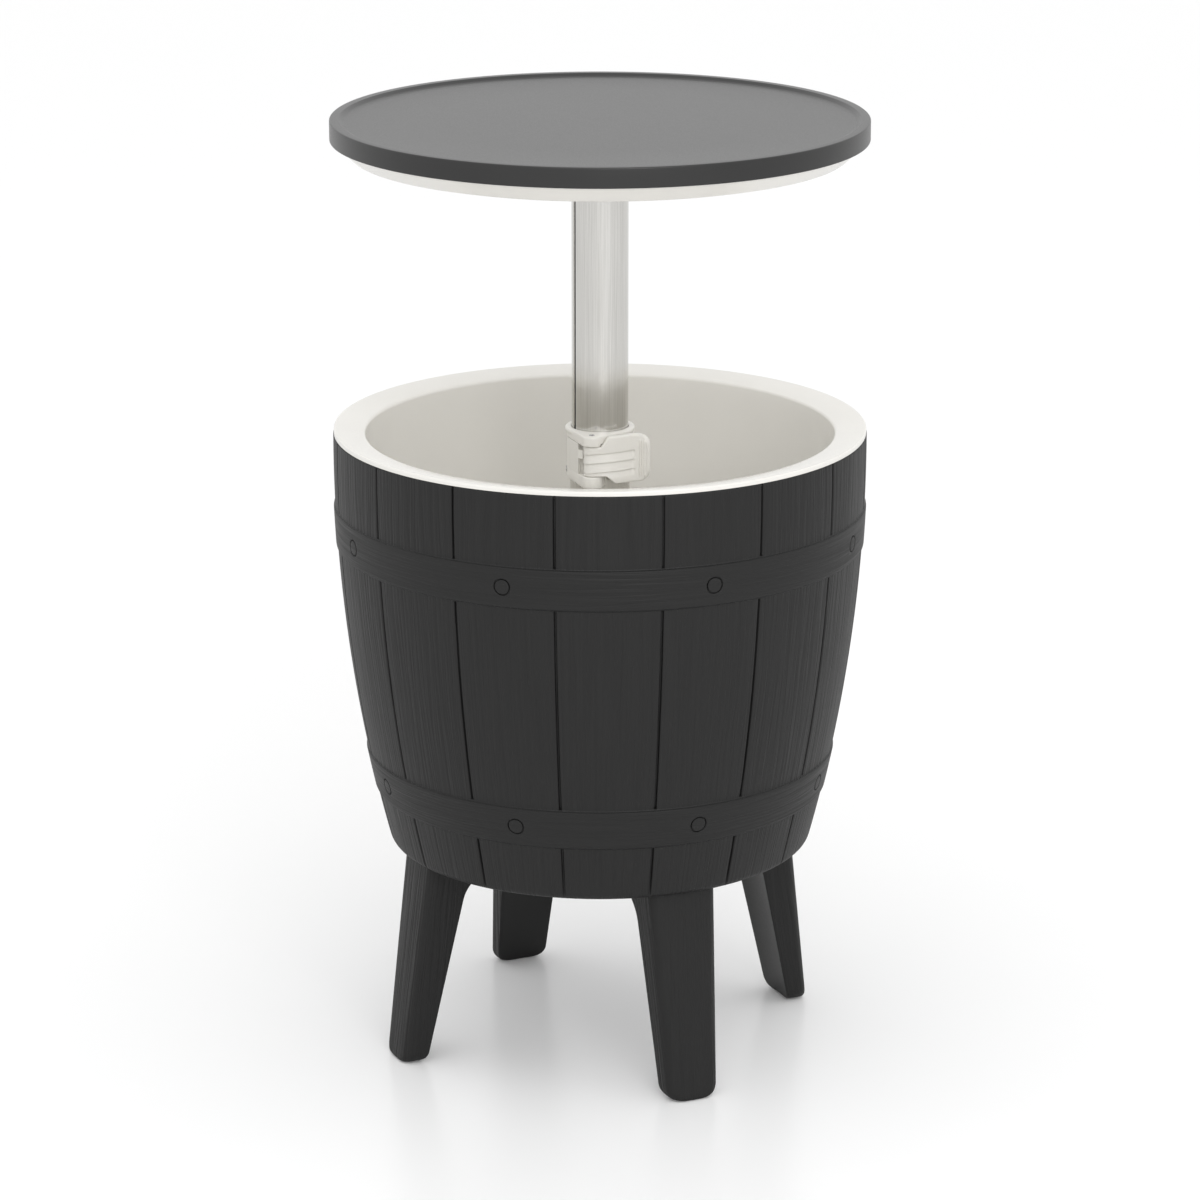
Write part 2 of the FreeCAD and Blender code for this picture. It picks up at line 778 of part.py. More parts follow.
def column_socket():
    """Flanged socket on the tank floor, with four gussets, that the lower tube stands in."""
    body = new_body("column_socket")
    hub_radius = f"({TUBE_RADIUS} + socket_hub_wall)"
    bore = f"({TUBE_RADIUS} + fit_gap / 2)"
    flange_top = "(tank_floor + socket_flange)"
    hub_top = "(tank_floor + socket_hub_tall)"
    turned(
        body,
        "socket",
        [
            ("0", "tank_floor"),
            ("socket_radius", "tank_floor"),
            ("socket_radius", "tank_floor + socket_flange / 2"),
            ("socket_radius - socket_flange / 2", flange_top),
            (hub_radius, flange_top),
            (hub_radius, hub_top),
            (bore, hub_top),
            (bore, SOCKET_FLOOR),
            ("0", SOCKET_FLOOR),
        ],
    )
    rib = new_sketch(body, "gusset_side", "XZ_Plane", turn_axis=(0, 1, 0), turn="leg_turn")
    add_loop(
        rib,
        [
            (f"{hub_radius} - socket_hub_wall / 2", flange_top),
            ("socket_radius - socket_flange", flange_top),
            (f"{hub_radius} - socket_hub_wall / 2", f"{hub_top} - socket_flange"),
        ],
    )
    gusset = feature(body, "Pad", "gusset", rib, Length="socket_rib", Midplane=True)
    hole = new_sketch(body, "screw_hole_plan", "XY_Plane", ("0", "0", flange_top))
    add_circle(hole, "0", "0 - socket_screw_radius", "screw_hole_radius")
    cut = feature(body, "Pocket", "screw_hole", hole, Length="socket_flange")
    ring_pattern(body, "gussets_and_holes", [gusset, cut], "4")


def wall_window(body, name, depth_from, reverse, length):
    """A cut for the brake pad through a wall, from a plane in front of the mast's axis."""
    plan = new_sketch(body, f"{name}_front", "XZ_Plane", ("0", "clamp_middle", depth_from))
    half_width = "(pad_half_width + fit_gap)"
    half_tall = "(pad_half_tall + fit_gap)"
    add_box(plan, f"0 - {half_width}", f"0 - {half_tall}", half_width, half_tall)
    feature(body, "Pocket", name, plan, Length=length, Reversed=reverse)


def rivet_holes(body):
    """Two opposite holes for the collar's rivets, through the body's walls."""
    side = new_sketch(body, "rivet_hole_side", "YZ_Plane")
    add_circle(side, "0", "clamp_middle - collar_rivet_drop", "rivet_pin_radius + thread_gap")
    feature(body, "Pocket", "rivet_holes", side, Type="ThroughAll", Midplane=True)


def lower_tube():
    """Outer column tube, with the brake pad's window and the rivet holes near its top."""
    body = new_body("lower_tube", turn="clamp_turn")
    top = f"({COLLAR_TOP} - collar_cap)"
    turned(
        body,
        "tube",
        [
            (TUBE_BORE, SOCKET_FLOOR),
            (TUBE_RADIUS, SOCKET_FLOOR),
            (TUBE_RADIUS, top),
            (TUBE_BORE, top),
        ],
    )
    wall_window(body, "window", "0", True, f"{TUBE_RADIUS} + tube_wall")
    rivet_holes(body)


def clamp_collar():
    """Collar of the flip lock: a ring with a nose that holds the lever's pin at both ends."""
    body = new_body("clamp_collar", turn="clamp_turn")
    lean = "asin((collar_radius - nose_radius) / pin_reach)"
    ring_x = f"collar_radius * cos({lean})"
    ring_y = f"0 - collar_radius * sin({lean})"
    nose_x = f"nose_radius * cos({lean})"
    nose_y = f"0 - pin_reach - nose_radius * sin({lean})"
    plan = new_sketch(body, "collar_plan", "XY_Plane", ("0", "0", COLLAR_BASE))
    add_loop(
        plan,
        [
            (ring_x, ring_y),
            (nose_x, nose_y),
            (f"0 - {nose_x}", nose_y),
            (f"0 - {ring_x}", ring_y),
            ("0", "collar_radius"),
        ],
        {1: ("nose_radius", -1), 3: ("collar_radius", -1), 4: ("collar_radius", -1)},
    )
    feature(body, "Pad", "collar", plan, Length="collar_half * 2")
    lip = new_sketch(body, "lip_section", "XZ_Plane")
    add_loop(
        lip,
        [
            ("collar_radius - collar_lip", f"{COLLAR_TOP} - collar_lip_tall"),
            ("collar_radius", f"{COLLAR_TOP} - collar_lip_tall"),
            ("collar_radius + collar_lip", f"{COLLAR_TOP} - collar_lip_tall + collar_lip"),
            ("collar_radius + collar_lip", f"{COLLAR_TOP} - collar_lip / 2"),
            ("collar_radius + collar_lip / 2", COLLAR_TOP),
            ("collar_radius - collar_lip", COLLAR_TOP),
        ],
    )
    revolve(body, "lip", lip)
    bore = new_sketch(body, "tube_bore_plan", "XY_Plane", ("0", "0", COLLAR_BASE))
    add_circle(bore, "0", "0", f"{TUBE_RADIUS} + fit_gap / 2")
    feature(
        body, "Pocket", "tube_bore", bore, Length="collar_half * 2 - collar_cap", Reversed=True
    )
    bore = new_sketch(body, "mast_bore_plan", "XY_Plane", ("0", "0", COLLAR_BASE))
    add_circle(bore, "0", "0", TUBE_BORE)
    feature(body, "Pocket", "mast_bore", bore, Length="collar_half * 2", Reversed=True)
    slot_half = "(knuckle_half + fit_gap)"
    slot = new_sketch(body, "slot_front", "XZ_Plane", ("0", "clamp_middle + slot_lift", CAM_FACE))
    add_loop(
        slot,
        [
            ("0 - slot_left", f"0 - {slot_half}"),
            ("collar_radius * 2", f"0 - {slot_half}"),
            ("collar_radius * 2", slot_half),
            ("0 - slot_left", slot_half),
            ("0 - slot_left", "slot_tab_base + slot_tab_tall"),
            ("0 - knuckle_radius - 1", "slot_tab_base + slot_tab_tall"),
            ("0 - knuckle_radius - 1", "slot_tab_base"),
            ("0 - slot_left", "slot_tab_base"),
        ],
    )
    feature(body, "Pocket", "slot", slot, Length="pin_reach", Reversed=True)
    wall_window(body, "window", CAM_FACE, False, f"{CAM_FACE} - mast_radius / 2")
    for name, level, upwards, depth, lift in (
        ("lower_relief", COLLAR_BASE, True, "rivet_head_radius * 2", "+ slot_lift"),
        ("upper_relief", COLLAR_TOP, False, "(collar_radius + collar_lip * 2)", "- slot_lift"),
    ):
        relief = new_sketch(body, f"{name}_plan", "XY_Plane", ("0", "0", level))
        add_box(
            relief, "nose_radius + 0.5", "0 - pin_reach - nose_radius", "collar_radius * 2",
            f"0 - {depth}",
        )
        feature(
            body, "Pocket", name, relief, Length=f"collar_half - {slot_half} {lift}",
            Reversed=upwards,
        )
    pin = new_sketch(body, "pin_bore_plan", "XY_Plane", ("0", "0", COLLAR_BASE))
    add_circle(pin, "0", "0 - pin_reach", "pin_radius + thread_gap")
    feature(body, "Pocket", "pin_bore", pin, Length="collar_half * 2", Reversed=True)
    rivet_holes(body)


def collar_rivets():
    """Two opposite rivets that hold the collar to the lower tube."""
    body = new_body("collar_rivets", turn="clamp_turn")
    section = new_sketch(
        body, "rivet_section", "XZ_Plane", ("0", "clamp_middle - collar_rivet_drop", "0")
    )
    add_loop(
        section,
        [
            (TUBE_BORE, "0"),
            ("collar_radius + rivet_head_tall", "0"),
            ("collar_radius + rivet_head_tall", "rivet_head_radius / 2"),
            ("collar_radius + rivet_head_tall / 2", "rivet_head_radius"),
            ("collar_radius", "rivet_head_radius"),
            ("collar_radius", "rivet_pin_radius"),
            (TUBE_BORE, "rivet_pin_radius"),
        ],
    )
    rivet = revolve(body, "rivet", section, axis="H_Axis")
    ring_pattern(body, "rivets", [rivet], "2")


def brake_pad():
    """Pad in the collar's window, hollowed to the mast, that the lever's cam presses."""
    body = new_body("brake_pad", turn="clamp_turn")
    face = "(mast_radius + fit_gap)"
    face_y = f"0 - sqrt({face}^2 - pad_half_width^2)"
    plan = new_sketch(body, "pad_plan", "XY_Plane", ("0", "0", "clamp_middle - pad_half_tall"))
    add_loop(
        plan,
        [
            ("0 - pad_half_width", f"0 - {CAM_FACE}"),
            ("pad_half_width", f"0 - {CAM_FACE}"),
            ("pad_half_width", face_y),
            ("0 - pad_half_width", face_y),
        ],
        {2: (face, -1)},
    )
    feature(body, "Pad", "pad", plan, Length="pad_half_tall * 2")


def lever_pin():
    """Steel pin through the collar's nose and the lever's knuckle."""
    body = new_body("lever_pin", turn="clamp_turn")
    plan = new_sketch(body, "pin_plan", "XY_Plane", ("0", "0", COLLAR_BASE))
    add_circle(plan, "0", "0 - pin_reach", "pin_radius")
    feature(body, "Pad", "pin", plan, Length="collar_half * 2 + fit_gap")
    top = number(f"{COLLAR_TOP} + fit_gap")
    soften(
        body, "top_edge", "Chamfer", "pin_radius / 6", lambda point: abs(point.z - top) < 0.01
    )


def clamp_lever():
    """Flip lever: a knuckle with an eccentric cam, and a paddle that hugs the collar.

    The paddle's end is bent outwards for the fingers. Its outer face has steps and ridges.
    """
    body = new_body("clamp_lever", turn="clamp_turn")
    inside = "(lever_curve - lever_thick)"
    inner_flare = "(lever_flare + lever_thick)"
    inner_end = "(lever_end - lever_bevel)"
    bend_y = f"(0 - {FLARE_DROP})"
    plan = new_sketch(body, "paddle_plan", "XY_Plane", ("0", "0", "clamp_middle + lever_lift"))
    add_loop(
        plan,
        [
            ("0", "0 - sqrt(lever_curve^2 - lever_centre^2)"),
            ("lever_bend", bend_y),
            ("lever_end", f"{FLARE_Y} + sqrt(lever_flare^2 - (lever_end - {FLARE_X})^2)"),
            (inner_end, f"{FLARE_Y} + sqrt({inner_flare}^2 - ({inner_end} - {FLARE_X})^2)"),
            (
                f"lever_centre + {BEND_REACH} * {inside} / lever_curve",
                f"{bend_y} * {inside} / lever_curve",
            ),
            ("0", f"0 - sqrt({inside}^2 - lever_centre^2)"),
        ],
        {
            0: ("lever_curve", 1),
            1: ("lever_flare", -1),
            3: (inner_flare, 1),
            4: (inside, -1),
        },
    )
    feature(body, "Pad", "paddle", plan, Length="lever_half * 2", Midplane=True)
    front = new_sketch(body, "paddle_front", "XZ_Plane", ("0", "clamp_middle + lever_lift", "0"))
    beyond = "(lever_half + lever_corner)"
    for sign, side, neck in (("", 1, "upper"), ("0 - ", -1, "lower")):
        edge = f"({sign}knuckle_half + slot_lift - lever_lift)"
        add_loop(
            front,
            [
                ("0 - lever_half", edge),
                (f"{neck}_neck", edge),
                (f"{neck}_shoulder", f"{sign}lever_half"),
                (f"{neck}_shoulder", f"{sign}{beyond}"),
                ("0 - lever_half", f"{sign}{beyond}"),
            ],
        )
        corner = [
            ("lever_end - lever_corner", f"{sign}lever_half"),
            ("lever_end", f"{sign}(lever_half - lever_corner)"),
            ("lever_end + lever_corner", f"{sign}(lever_half - lever_corner)"),
            ("lever_end + lever_corner", f"{sign}{beyond}"),
            ("lever_end - lever_corner", f"{sign}{beyond}"),
        ]
        add_loop(front, corner, {0: ("lever_corner", -side)})
    feature(body, "Pocket", "paddle_outline", front, Type="ThroughAll", Midplane=True)
    middle = ("0", "0", "clamp_middle + slot_lift")
    knuckle = new_sketch(body, "knuckle_plan", "XY_Plane", middle)
    add_circle(knuckle, "0", "cam_throw - pin_reach", "knuckle_radius")
    feature(body, "Pad", "knuckle", knuckle, Length="knuckle_half * 2", Midplane=True)
    bore = new_sketch(body, "pin_bore_plan", "XY_Plane", middle)
    add_circle(bore, "0", "0 - pin_reach", "pin_radius + thread_gap")
    feature(body, "Pocket", "pin_bore", bore, Length="lever_half * 2", Midplane=True)
    slats(body)
    grip_ridges(body)


def slats(body):
    """Three long steps across the lever's outer face, like lapped boards."""
    start = "(clamp_middle + slat_lift - slat_step - slat_tall / 2)"
    plan = new_sketch(body, "slat_plan", "XY_Plane", ("0", "0", start))
    ends = []
    for radius in ("(lever_curve + slat_depth)", "(lever_curve - slat_depth)"):
        for x in ("slat_start", "slat_end"):
            ends.append((x, f"0 - sqrt({radius}^2 - ({x} - lever_centre)^2)"))
    outer_start, outer_end, inner_start, inner_end = ends
    add_loop(
        plan,
        [outer_start, outer_end, inner_end, inner_start],
        {0: ("lever_curve + slat_depth", 1), 2: ("lever_curve - slat_depth", -1)},
    )
    step = feature(body, "Pocket", "slat_step", plan, Length="slat_tall", Reversed=True)
    pattern = body.newObject("PartDesign::LinearPattern", "slat_steps")
    pattern.Originals = [step]
    pattern.Direction = (origin_part(body, "Z_Axis"), [""])
    pattern.Length = number("slat_step * 2")
    bind(pattern, "Length", "slat_step * 2")
    pattern.Occurrences = 3
    body.Tip = pattern
    document.recompute()


def grip_ridges(body):
    """Upright ridges for the finger near the lever's free end."""
    plan = new_sketch(body, "ridge_plan", "XY_Plane", ("0", "0", "clamp_middle + lever_lift"))
    end_turn = f"asin((lever_end - {FLARE_X}) / lever_flare)"
    for index in range(int(number("grip_count"))):
        turn = f"({end_turn} - {index + 1.5} * grip_step / lever_flare * 1 rad)"
        add_circle(
            plan,
            f"{FLARE_X} + lever_flare * sin({turn})",
            f"{FLARE_Y} + lever_flare * cos({turn})",
            "grip_radius",
        )
    feature(
        body, "Pad", "ridges", plan, Length="(lever_half - lever_corner) * 2", Midplane=True
    )


def mast_tube():
    """Inner column tube with a lengthwise key groove."""
    body = new_body("mast_tube", turn="key_turn")
    turned(
        body,
        "tube",
        [
            ("mast_radius - mast_wall", "mast_foot"),
            ("mast_radius", "mast_foot"),
            ("mast_radius", HUB_BASE),
            ("mast_radius - mast_wall", HUB_BASE),
        ],
    )
    plan = new_sketch(body, "key_plan", "XY_Plane", ("0", "0", "mast_foot"))
    add_box(
        plan, "0 - key_width / 2", "0 - mast_radius - key_depth", "key_width / 2",
        "key_depth - mast_radius",
    )
    feature(body, "Pocket", "key_groove", plan, Length=f"{HUB_BASE} - mast_foot", Reversed=True)


def mast_glide():
    """Plastic cup in the mast's foot, whose flange runs in the lower tube."""
    body = new_body("mast_glide")
    plug = "(mast_radius - mast_wall - thread_gap)"
    turned(
        body,
        "glide",
        [
            ("0", "mast_foot - glide_flange"),
            ("mast_radius - glide_flange / 3", "mast_foot - glide_flange"),
            ("mast_radius", "mast_foot - glide_flange * 2 / 3"),
            ("mast_radius", "mast_foot"),
            (plug, "mast_foot"),
            (plug, "mast_foot + glide_plug"),
            (f"{plug} - glide_flange", "mast_foot + glide_plug"),
            (f"{plug} - glide_flange", "mast_foot"),
            ("0", "mast_foot"),
        ],
    )


def lid_hub():
    """Flange under the lid, with a spigot that fills the mast's top and sunk screw holes."""
    body = new_body("lid_hub")
    spigot = "(mast_radius - mast_wall - thread_gap)"
    inner = f"({spigot} - hub_spigot_wall)"
    turned(
        body,
        "hub",
        [
            ("0", HUB_BASE),
            (inner, HUB_BASE),
            (inner, f"{HUB_BASE} - hub_spigot"),
            (f"{spigot} - hub_spigot_wall / 3", f"{HUB_BASE} - hub_spigot"),
            (spigot, f"{HUB_BASE} - hub_spigot + hub_spigot_wall / 3"),
            (spigot, HUB_BASE),
            ("hub_radius - hub_flange / 2", HUB_BASE),
            ("hub_radius", f"{HUB_BASE} + hub_flange / 2"),
            ("hub_radius", UNDER_PLANE),
            ("0", UNDER_PLANE),
        ],
    )
    section = new_sketch(body, "screw_hole_section", "XZ_Plane", ("hub_screw_radius", HUB_BASE, "0"))
    add_loop(
        section,
        [
            ("0", "0 - thread_gap"),
            ("screw_head_radius + thread_gap * 2", "0 - thread_gap"),
            (PILOT_RADIUS, "screw_head_tall"),
            (PILOT_RADIUS, "hub_flange + 1"),
            ("0", "hub_flange + 1"),
        ],
    )
    cut = revolve(body, "screw_hole", section, kind="Groove")
    ring_pattern(body, "screw_holes", [cut], "4")


def lid_underside():
    """White underside: rim lip, cone, seat ring, centring rib and a flat recessed middle."""
    body = new_body("lid_underside")
    lip = "(lid_base - under_lip)"
    seat = "(lid_base - under_seat)"
    seat_inside = "(under_seat_radius - under_seat_width)"
    rib_outside = f"({seat_inside} - under_rib / 2)"
    rib_inside = f"({rib_outside} - under_rib_width)"
    turned(
        body,
        "dish",
        [
            ("0", UNDER_PLANE),
            (f"{rib_inside} - under_skin", UNDER_PLANE),
            (rib_inside, f"{seat} - under_rib"),
            (rib_outside, f"{seat} - under_rib"),
            (seat_inside, seat),
            ("under_seat_radius", seat),
            ("under_lip_radius - under_lip", lip),
            ("under_lip_radius", lip),
            ("under_lip_radius", "lid_base"),
            ("under_lip_radius - under_lip - under_skin * 0.9", "lid_base"),
            ("under_seat_radius - under_skin * 0.6", f"{seat} + under_skin"),
            (f"{rib_inside} + under_skin * 0.2", f"{seat} + under_skin"),
            (f"{rib_inside} - under_skin * 1.2", UNDER_INSIDE),
            ("0", UNDER_INSIDE),
        ],
    )
    boss = new_sketch(body, "boss_plan", "XY_Plane", ("0", "0", f"{UNDER_PLANE} + under_skin / 2"))
    add_circle(boss, "hub_screw_radius", "0", "boss_radius")
    boss_pad = feature(
        body, "Pad", "boss", boss, Length="hub_bite + boss_end - under_skin / 2"
    )
    pilot = new_sketch(body, "pilot_plan", "XY_Plane", ("0", "0", UNDER_PLANE))
    add_circle(pilot, "hub_screw_radius", "0", PILOT_RADIUS)
    pilot_cut = feature(body, "Pocket", "pilot", pilot, Length="hub_bite + thread_gap", Reversed=True)
    ring_pattern(body, "bosses", [boss_pad, pilot_cut], "4")
    hole = new_sketch(body, "screw_hole_plan", "XY_Plane", ("0", "0", UNDER_PLANE))
    add_circle(hole, "0", "0 - lid_screw_radius", "screw_hole_radius")
    cut = feature(body, "Pocket", "screw_hole", hole, Length="under_skin", Reversed=True)
    ring_pattern(body, "screw_holes", [cut], "lid_screw_count")


def tabletop():
    """Dark round top with a raised lip, a deep rim and screw bosses below."""
    body = new_body("tabletop")
    lip_inside = "(table_radius - table_lip)"
    turned(
        body,
        "top",
        [
            ("0", TABLE_INSIDE),
            ("table_radius - table_skirt", TABLE_INSIDE),
            ("table_radius - table_skirt", "lid_base"),
            ("table_radius - table_edge / 2", "lid_base"),
            ("table_radius", "lid_base + table_edge / 2"),
            ("table_radius", f"{TABLE_TOP} - table_edge"),
            ("table_radius - table_edge", TABLE_TOP),
            (lip_inside, TABLE_TOP),
            (f"{lip_inside} - table_lip_slope", TABLE_FACE),
            ("0", TABLE_FACE),
        ],
        {5: ("table_edge", 1)},
    )
    boss = new_sketch(body, "boss_plan", "XY_Plane", ("0", "0", f"{UNDER_INSIDE} + fit_gap / 2"))
    add_circle(boss, "0", "0 - lid_screw_radius", "boss_radius")
    boss_pad = feature(
        body, "Pad", "boss", boss,
        Length=f"{TABLE_INSIDE} + table_skin / 2 - {UNDER_INSIDE} - fit_gap / 2",
    )
    pilot = new_sketch(body, "pilot_plan", "XY_Plane", ("0", "0", UNDER_INSIDE))
    add_circle(pilot, "0", "0 - lid_screw_radius", PILOT_RADIUS)
    pilot_cut = feature(
        body, "Pocket", "pilot", pilot, Length="screw_bite - under_skin + thread_gap", Reversed=True
    )
    ring_pattern(body, "bosses", [boss_pad, pilot_cut], "lid_screw_count")


def lid_foam():
    """Foam disc inside the lid, clear of the screw bosses."""
    body = new_body("lid_foam")
    radius = (
        "(under_seat_radius - under_seat_width - under_rib / 2 - under_rib_width"
        " - under_skin * 1.2 - fit_gap)"
    )
    bottom = f"({UNDER_INSIDE} + fit_gap)"
    top = f"({TABLE_INSIDE} - fit_gap)"
    turned(body, "disc", [("0", bottom), (radius, bottom), (radius, top), ("0", top)])
    hole = new_sketch(body, "table_boss_hole_plan", "XY_Plane", ("0", "0", UNDER_INSIDE))
    add_circle(hole, "0", "0 - lid_screw_radius", "boss_radius + fit_gap")
    cut = feature(
        body, "Pocket", "table_boss_hole", hole, Length=f"{TABLE_INSIDE} - {UNDER_INSIDE}",
        Reversed=True,
    )
    ring_pattern(body, "table_boss_holes", [cut], "lid_screw_count")
    hole = new_sketch(body, "hub_boss_hole_plan", "XY_Plane", ("0", "0", UNDER_INSIDE))
    add_circle(hole, "hub_screw_radius", "0", "boss_radius + fit_gap")
    cut = feature(
        body, "Pocket", "hub_boss_hole", hole, Length=f"{TABLE_INSIDE} - {UNDER_INSIDE}",
        Reversed=True,
    )
    ring_pattern(body, "hub_boss_holes", [cut], "4")


def drain_plug():
    """Drain plug under the barrel: a stem up the tank's spout, a round head and a grip bar."""
    body = new_body("drain_plug", place=("0", "drain_offset", "0"))
    head_top = "(barrel_base - gasket_thick)"
    head_base = "(barrel_base - gasket_thick - plug_head_tall)"
    stem = "(drain_radius - fit_gap)"
    turned(
        body,
        "plug",
        [
            ("0", head_base),
            ("plug_head_radius - plug_head_tall / 3", head_base),
            ("plug_head_radius", f"{head_base} + plug_head_tall / 3"),
            ("plug_head_radius", head_top),
            (stem, head_top),
            (stem, "tank_floor - gasket_thick"),
            (f"{stem} - gasket_thick / 2", "tank_floor - gasket_thick / 2"),
            ("0", "tank_floor - gasket_thick / 2"),
        ],
    )
    grip = new_sketch(body, "grip_plan", "XY_Plane", ("0", "0", f"{head_base} + plug_head_tall / 2"))
    half = "plug_grip_thick / 2"
    reach = "(plug_head_radius - plug_grip_thick)"
    add_loop(
        grip,
        [
            (f"0 - {reach}", f"0 - {half}"),
            (reach, f"0 - {half}"),
            (f"{reach} + {half}", "0"),
            (reach, half),
            (f"0 - {reach}", half),
            (f"0 - {reach} - {half}", "0"),
        ],
        {1: (half, 1), 2: (half, 1), 4: (half, 1), 5: (half, 1)},
    )
    feature(
        body, "Pad", "grip", grip, Length="plug_grip_tall + plug_head_tall / 2", Reversed=True
    )


def drain_gasket():
    """Rubber washer between the plug's head and the barrel's bottom."""
    body = new_body("drain_gasket", place=("0", "drain_offset", "0"))
    low = "(barrel_base - gasket_thick)"
    high = "(barrel_base - fit_gap / 2)"
    inner = "(drain_radius - fit_gap / 2)"
    outer = "(plug_head_radius - plug_head_tall / 2)"
    turned(body, "washer", [(inner, low), (outer, low), (outer, high), (inner, high)])


def check(thing):
    """Stop if a recompute left an object of the document failed."""
    bad = [state for state in thing.State if state in ("Invalid", "Error")]
    if bad:
        raise RuntimeError(f"{thing.Label}: {bad}")


def write_parts():
    """Check every object and sub-part, then write one STEP file for each sub-part."""
    document.recompute()
    for thing in document.Objects:
        check(thing)
    for body in parts:
        if body.Shape.isNull() or not body.Shape.isValid():
            raise RuntimeError(f"{body.Label}: null or invalid shape")
    os.makedirs("parts", exist_ok=True)
    for body in parts:
        body.Shape.exportStep(f"parts/{body.Label}.step")
        box = body.Shape.BoundBox
        print(
            f"{body.Label}: {len(body.Shape.Solids)} solids, {body.Shape.Volume / 1000:.2f} cm3,"
            f" z {box.ZMin:.1f} to {box.ZMax:.1f}"
        )


outer_shell()
tank_liner()
insulation_foam()
for quarter, leg_name in enumerate(
    ("leg_front_right", "leg_back_right", "leg_back_left", "leg_front_left")
):
    leg(leg_name, quarter)
screw_group(
    "leg_screws",
    "barrel_base - leg_tab_thick",
    True,
    "leg_screw_radius",
    ("leg_turn - leg_screw_angle", "leg_turn + leg_screw_angle"),
    "4",
    "leg_tab_thick + screw_bite",
)
column_socket()
screw_group(
    "socket_screws",
    "tank_floor + socket_flange",
    False,
    "socket_screw_radius",
    ("0",),
    "4",
    "socket_flange + screw_bite",
)
lower_tube()
clamp_collar()
collar_rivets()
brake_pad()
lever_pin()
clamp_lever()
drain_plug()
drain_gasket()
mast_tube()
mast_glide()
lid_hub()
screw_group(
    "hub_screws",
    HUB_BASE,
    True,
    "hub_screw_radius",
    ("0",),
    "4",
    "hub_flange + hub_bite",
    sunk=True,
)
lid_underside()
lid_foam()
screw_group(
    "lid_screws",
    UNDER_PLANE,
    True,
    "lid_screw_radius",
    ("0",),
    "lid_screw_count",
    "screw_bite",
)
tabletop()
write_parts()
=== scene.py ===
"""Patio cooler table with a lid on a sliding mast: the dressed model.

All sizes are millimetres and are put into the meshes in metres. +Z is up, the origin is on the
floor under the middle of the barrel, and the front is towards -Y. An angle called a turn is
counted from the front towards +X.
"""

import logging
import math
from dataclasses import dataclass
from enum import Enum
from typing import Callable, Iterable, Sequence

import bmesh
import bpy
import numpy as np
from numpy.typing import NDArray
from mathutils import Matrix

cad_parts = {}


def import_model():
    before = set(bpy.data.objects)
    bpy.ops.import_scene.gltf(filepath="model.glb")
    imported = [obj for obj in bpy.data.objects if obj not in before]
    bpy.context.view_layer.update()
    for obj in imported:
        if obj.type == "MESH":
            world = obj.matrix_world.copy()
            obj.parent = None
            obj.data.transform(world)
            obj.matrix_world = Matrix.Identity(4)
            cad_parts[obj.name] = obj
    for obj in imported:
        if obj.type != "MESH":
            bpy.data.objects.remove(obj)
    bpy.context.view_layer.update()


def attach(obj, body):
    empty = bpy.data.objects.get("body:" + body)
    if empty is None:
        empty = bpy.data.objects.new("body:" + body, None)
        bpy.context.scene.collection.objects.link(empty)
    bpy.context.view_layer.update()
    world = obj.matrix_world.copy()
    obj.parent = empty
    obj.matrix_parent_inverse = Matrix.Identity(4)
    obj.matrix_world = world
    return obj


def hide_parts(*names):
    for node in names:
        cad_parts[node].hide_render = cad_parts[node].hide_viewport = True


log = logging.getLogger("cooler_table")

Grid = NDArray[np.float64]
Index = NDArray[np.int64]
Numbers = Sequence[float]
Socket = bpy.types.NodeSocket

MM = 0.001
FAR = 99.0  # a distance that stands for no rivet near
TINY = 1e-9


class Body(Enum):
    """The rigid bodies that pieces ride on."""

    BARREL = "barrel"
    LEVER = "clamp_lever"
    DRAIN = "drain_plug"
    MAST = "mast"


class Slot(Enum):
    """The material slots of the record."""

    SHELL = "shell_plastic"
    LEG = "leg_plastic"
    TABLE = "table_plastic"
    WHITE = "white_plastic"
    CLAMP = "clamp_plastic"
    FOAM = "foam"
    TUBE = "tube_metal"
    STEEL = "steel"
    PLAIN = "plain_plastic"
    RUBBER = "rubber"


# ---- surfaces -------------------------------------------------------------------------------


@dataclass
class Surface:
    """Points in millimetres and the quads that join them.

    uv holds two values for each point in metres, where a finish needs them to follow the surface.
    """

    points: Grid
    quads: Index
    uv: Grid | None = None

    def volume(self) -> float:
        """Signed volume: a sixth of the triple products of each triangle's corners, added up."""
        a, b, c, d = (self.points[self.quads[:, i]] for i in range(4))
        first = np.einsum("ij,ij->i", a, np.cross(b, c))
        second = np.einsum("ij,ij->i", a, np.cross(c, d))
        return float((first.sum() + second.sum()) / 6)

    def outward(self) -> "Surface":
        """The same closed surface with its faces pointing out."""
        if self.volume() < 0:
            self.quads = self.quads[:, ::-1]
        return self

    def placed(self, turn: float = 0.0, shift: Numbers = (0, 0, 0)) -> "Surface":
        """A copy turned about the upright axis, then shifted.

        Args:
            turn: Degrees, anticlockwise from above.
            shift: Three distances.

        Returns:
            The copy.
        """
        cosine, sine = math.cos(math.radians(turn)), math.sin(math.radians(turn))
        matrix = np.array([[cosine, sine, 0], [-sine, cosine, 0], [0, 0, 1]])
        return Surface(self.points @ matrix + np.asarray(shift, float), self.quads, self.uv)


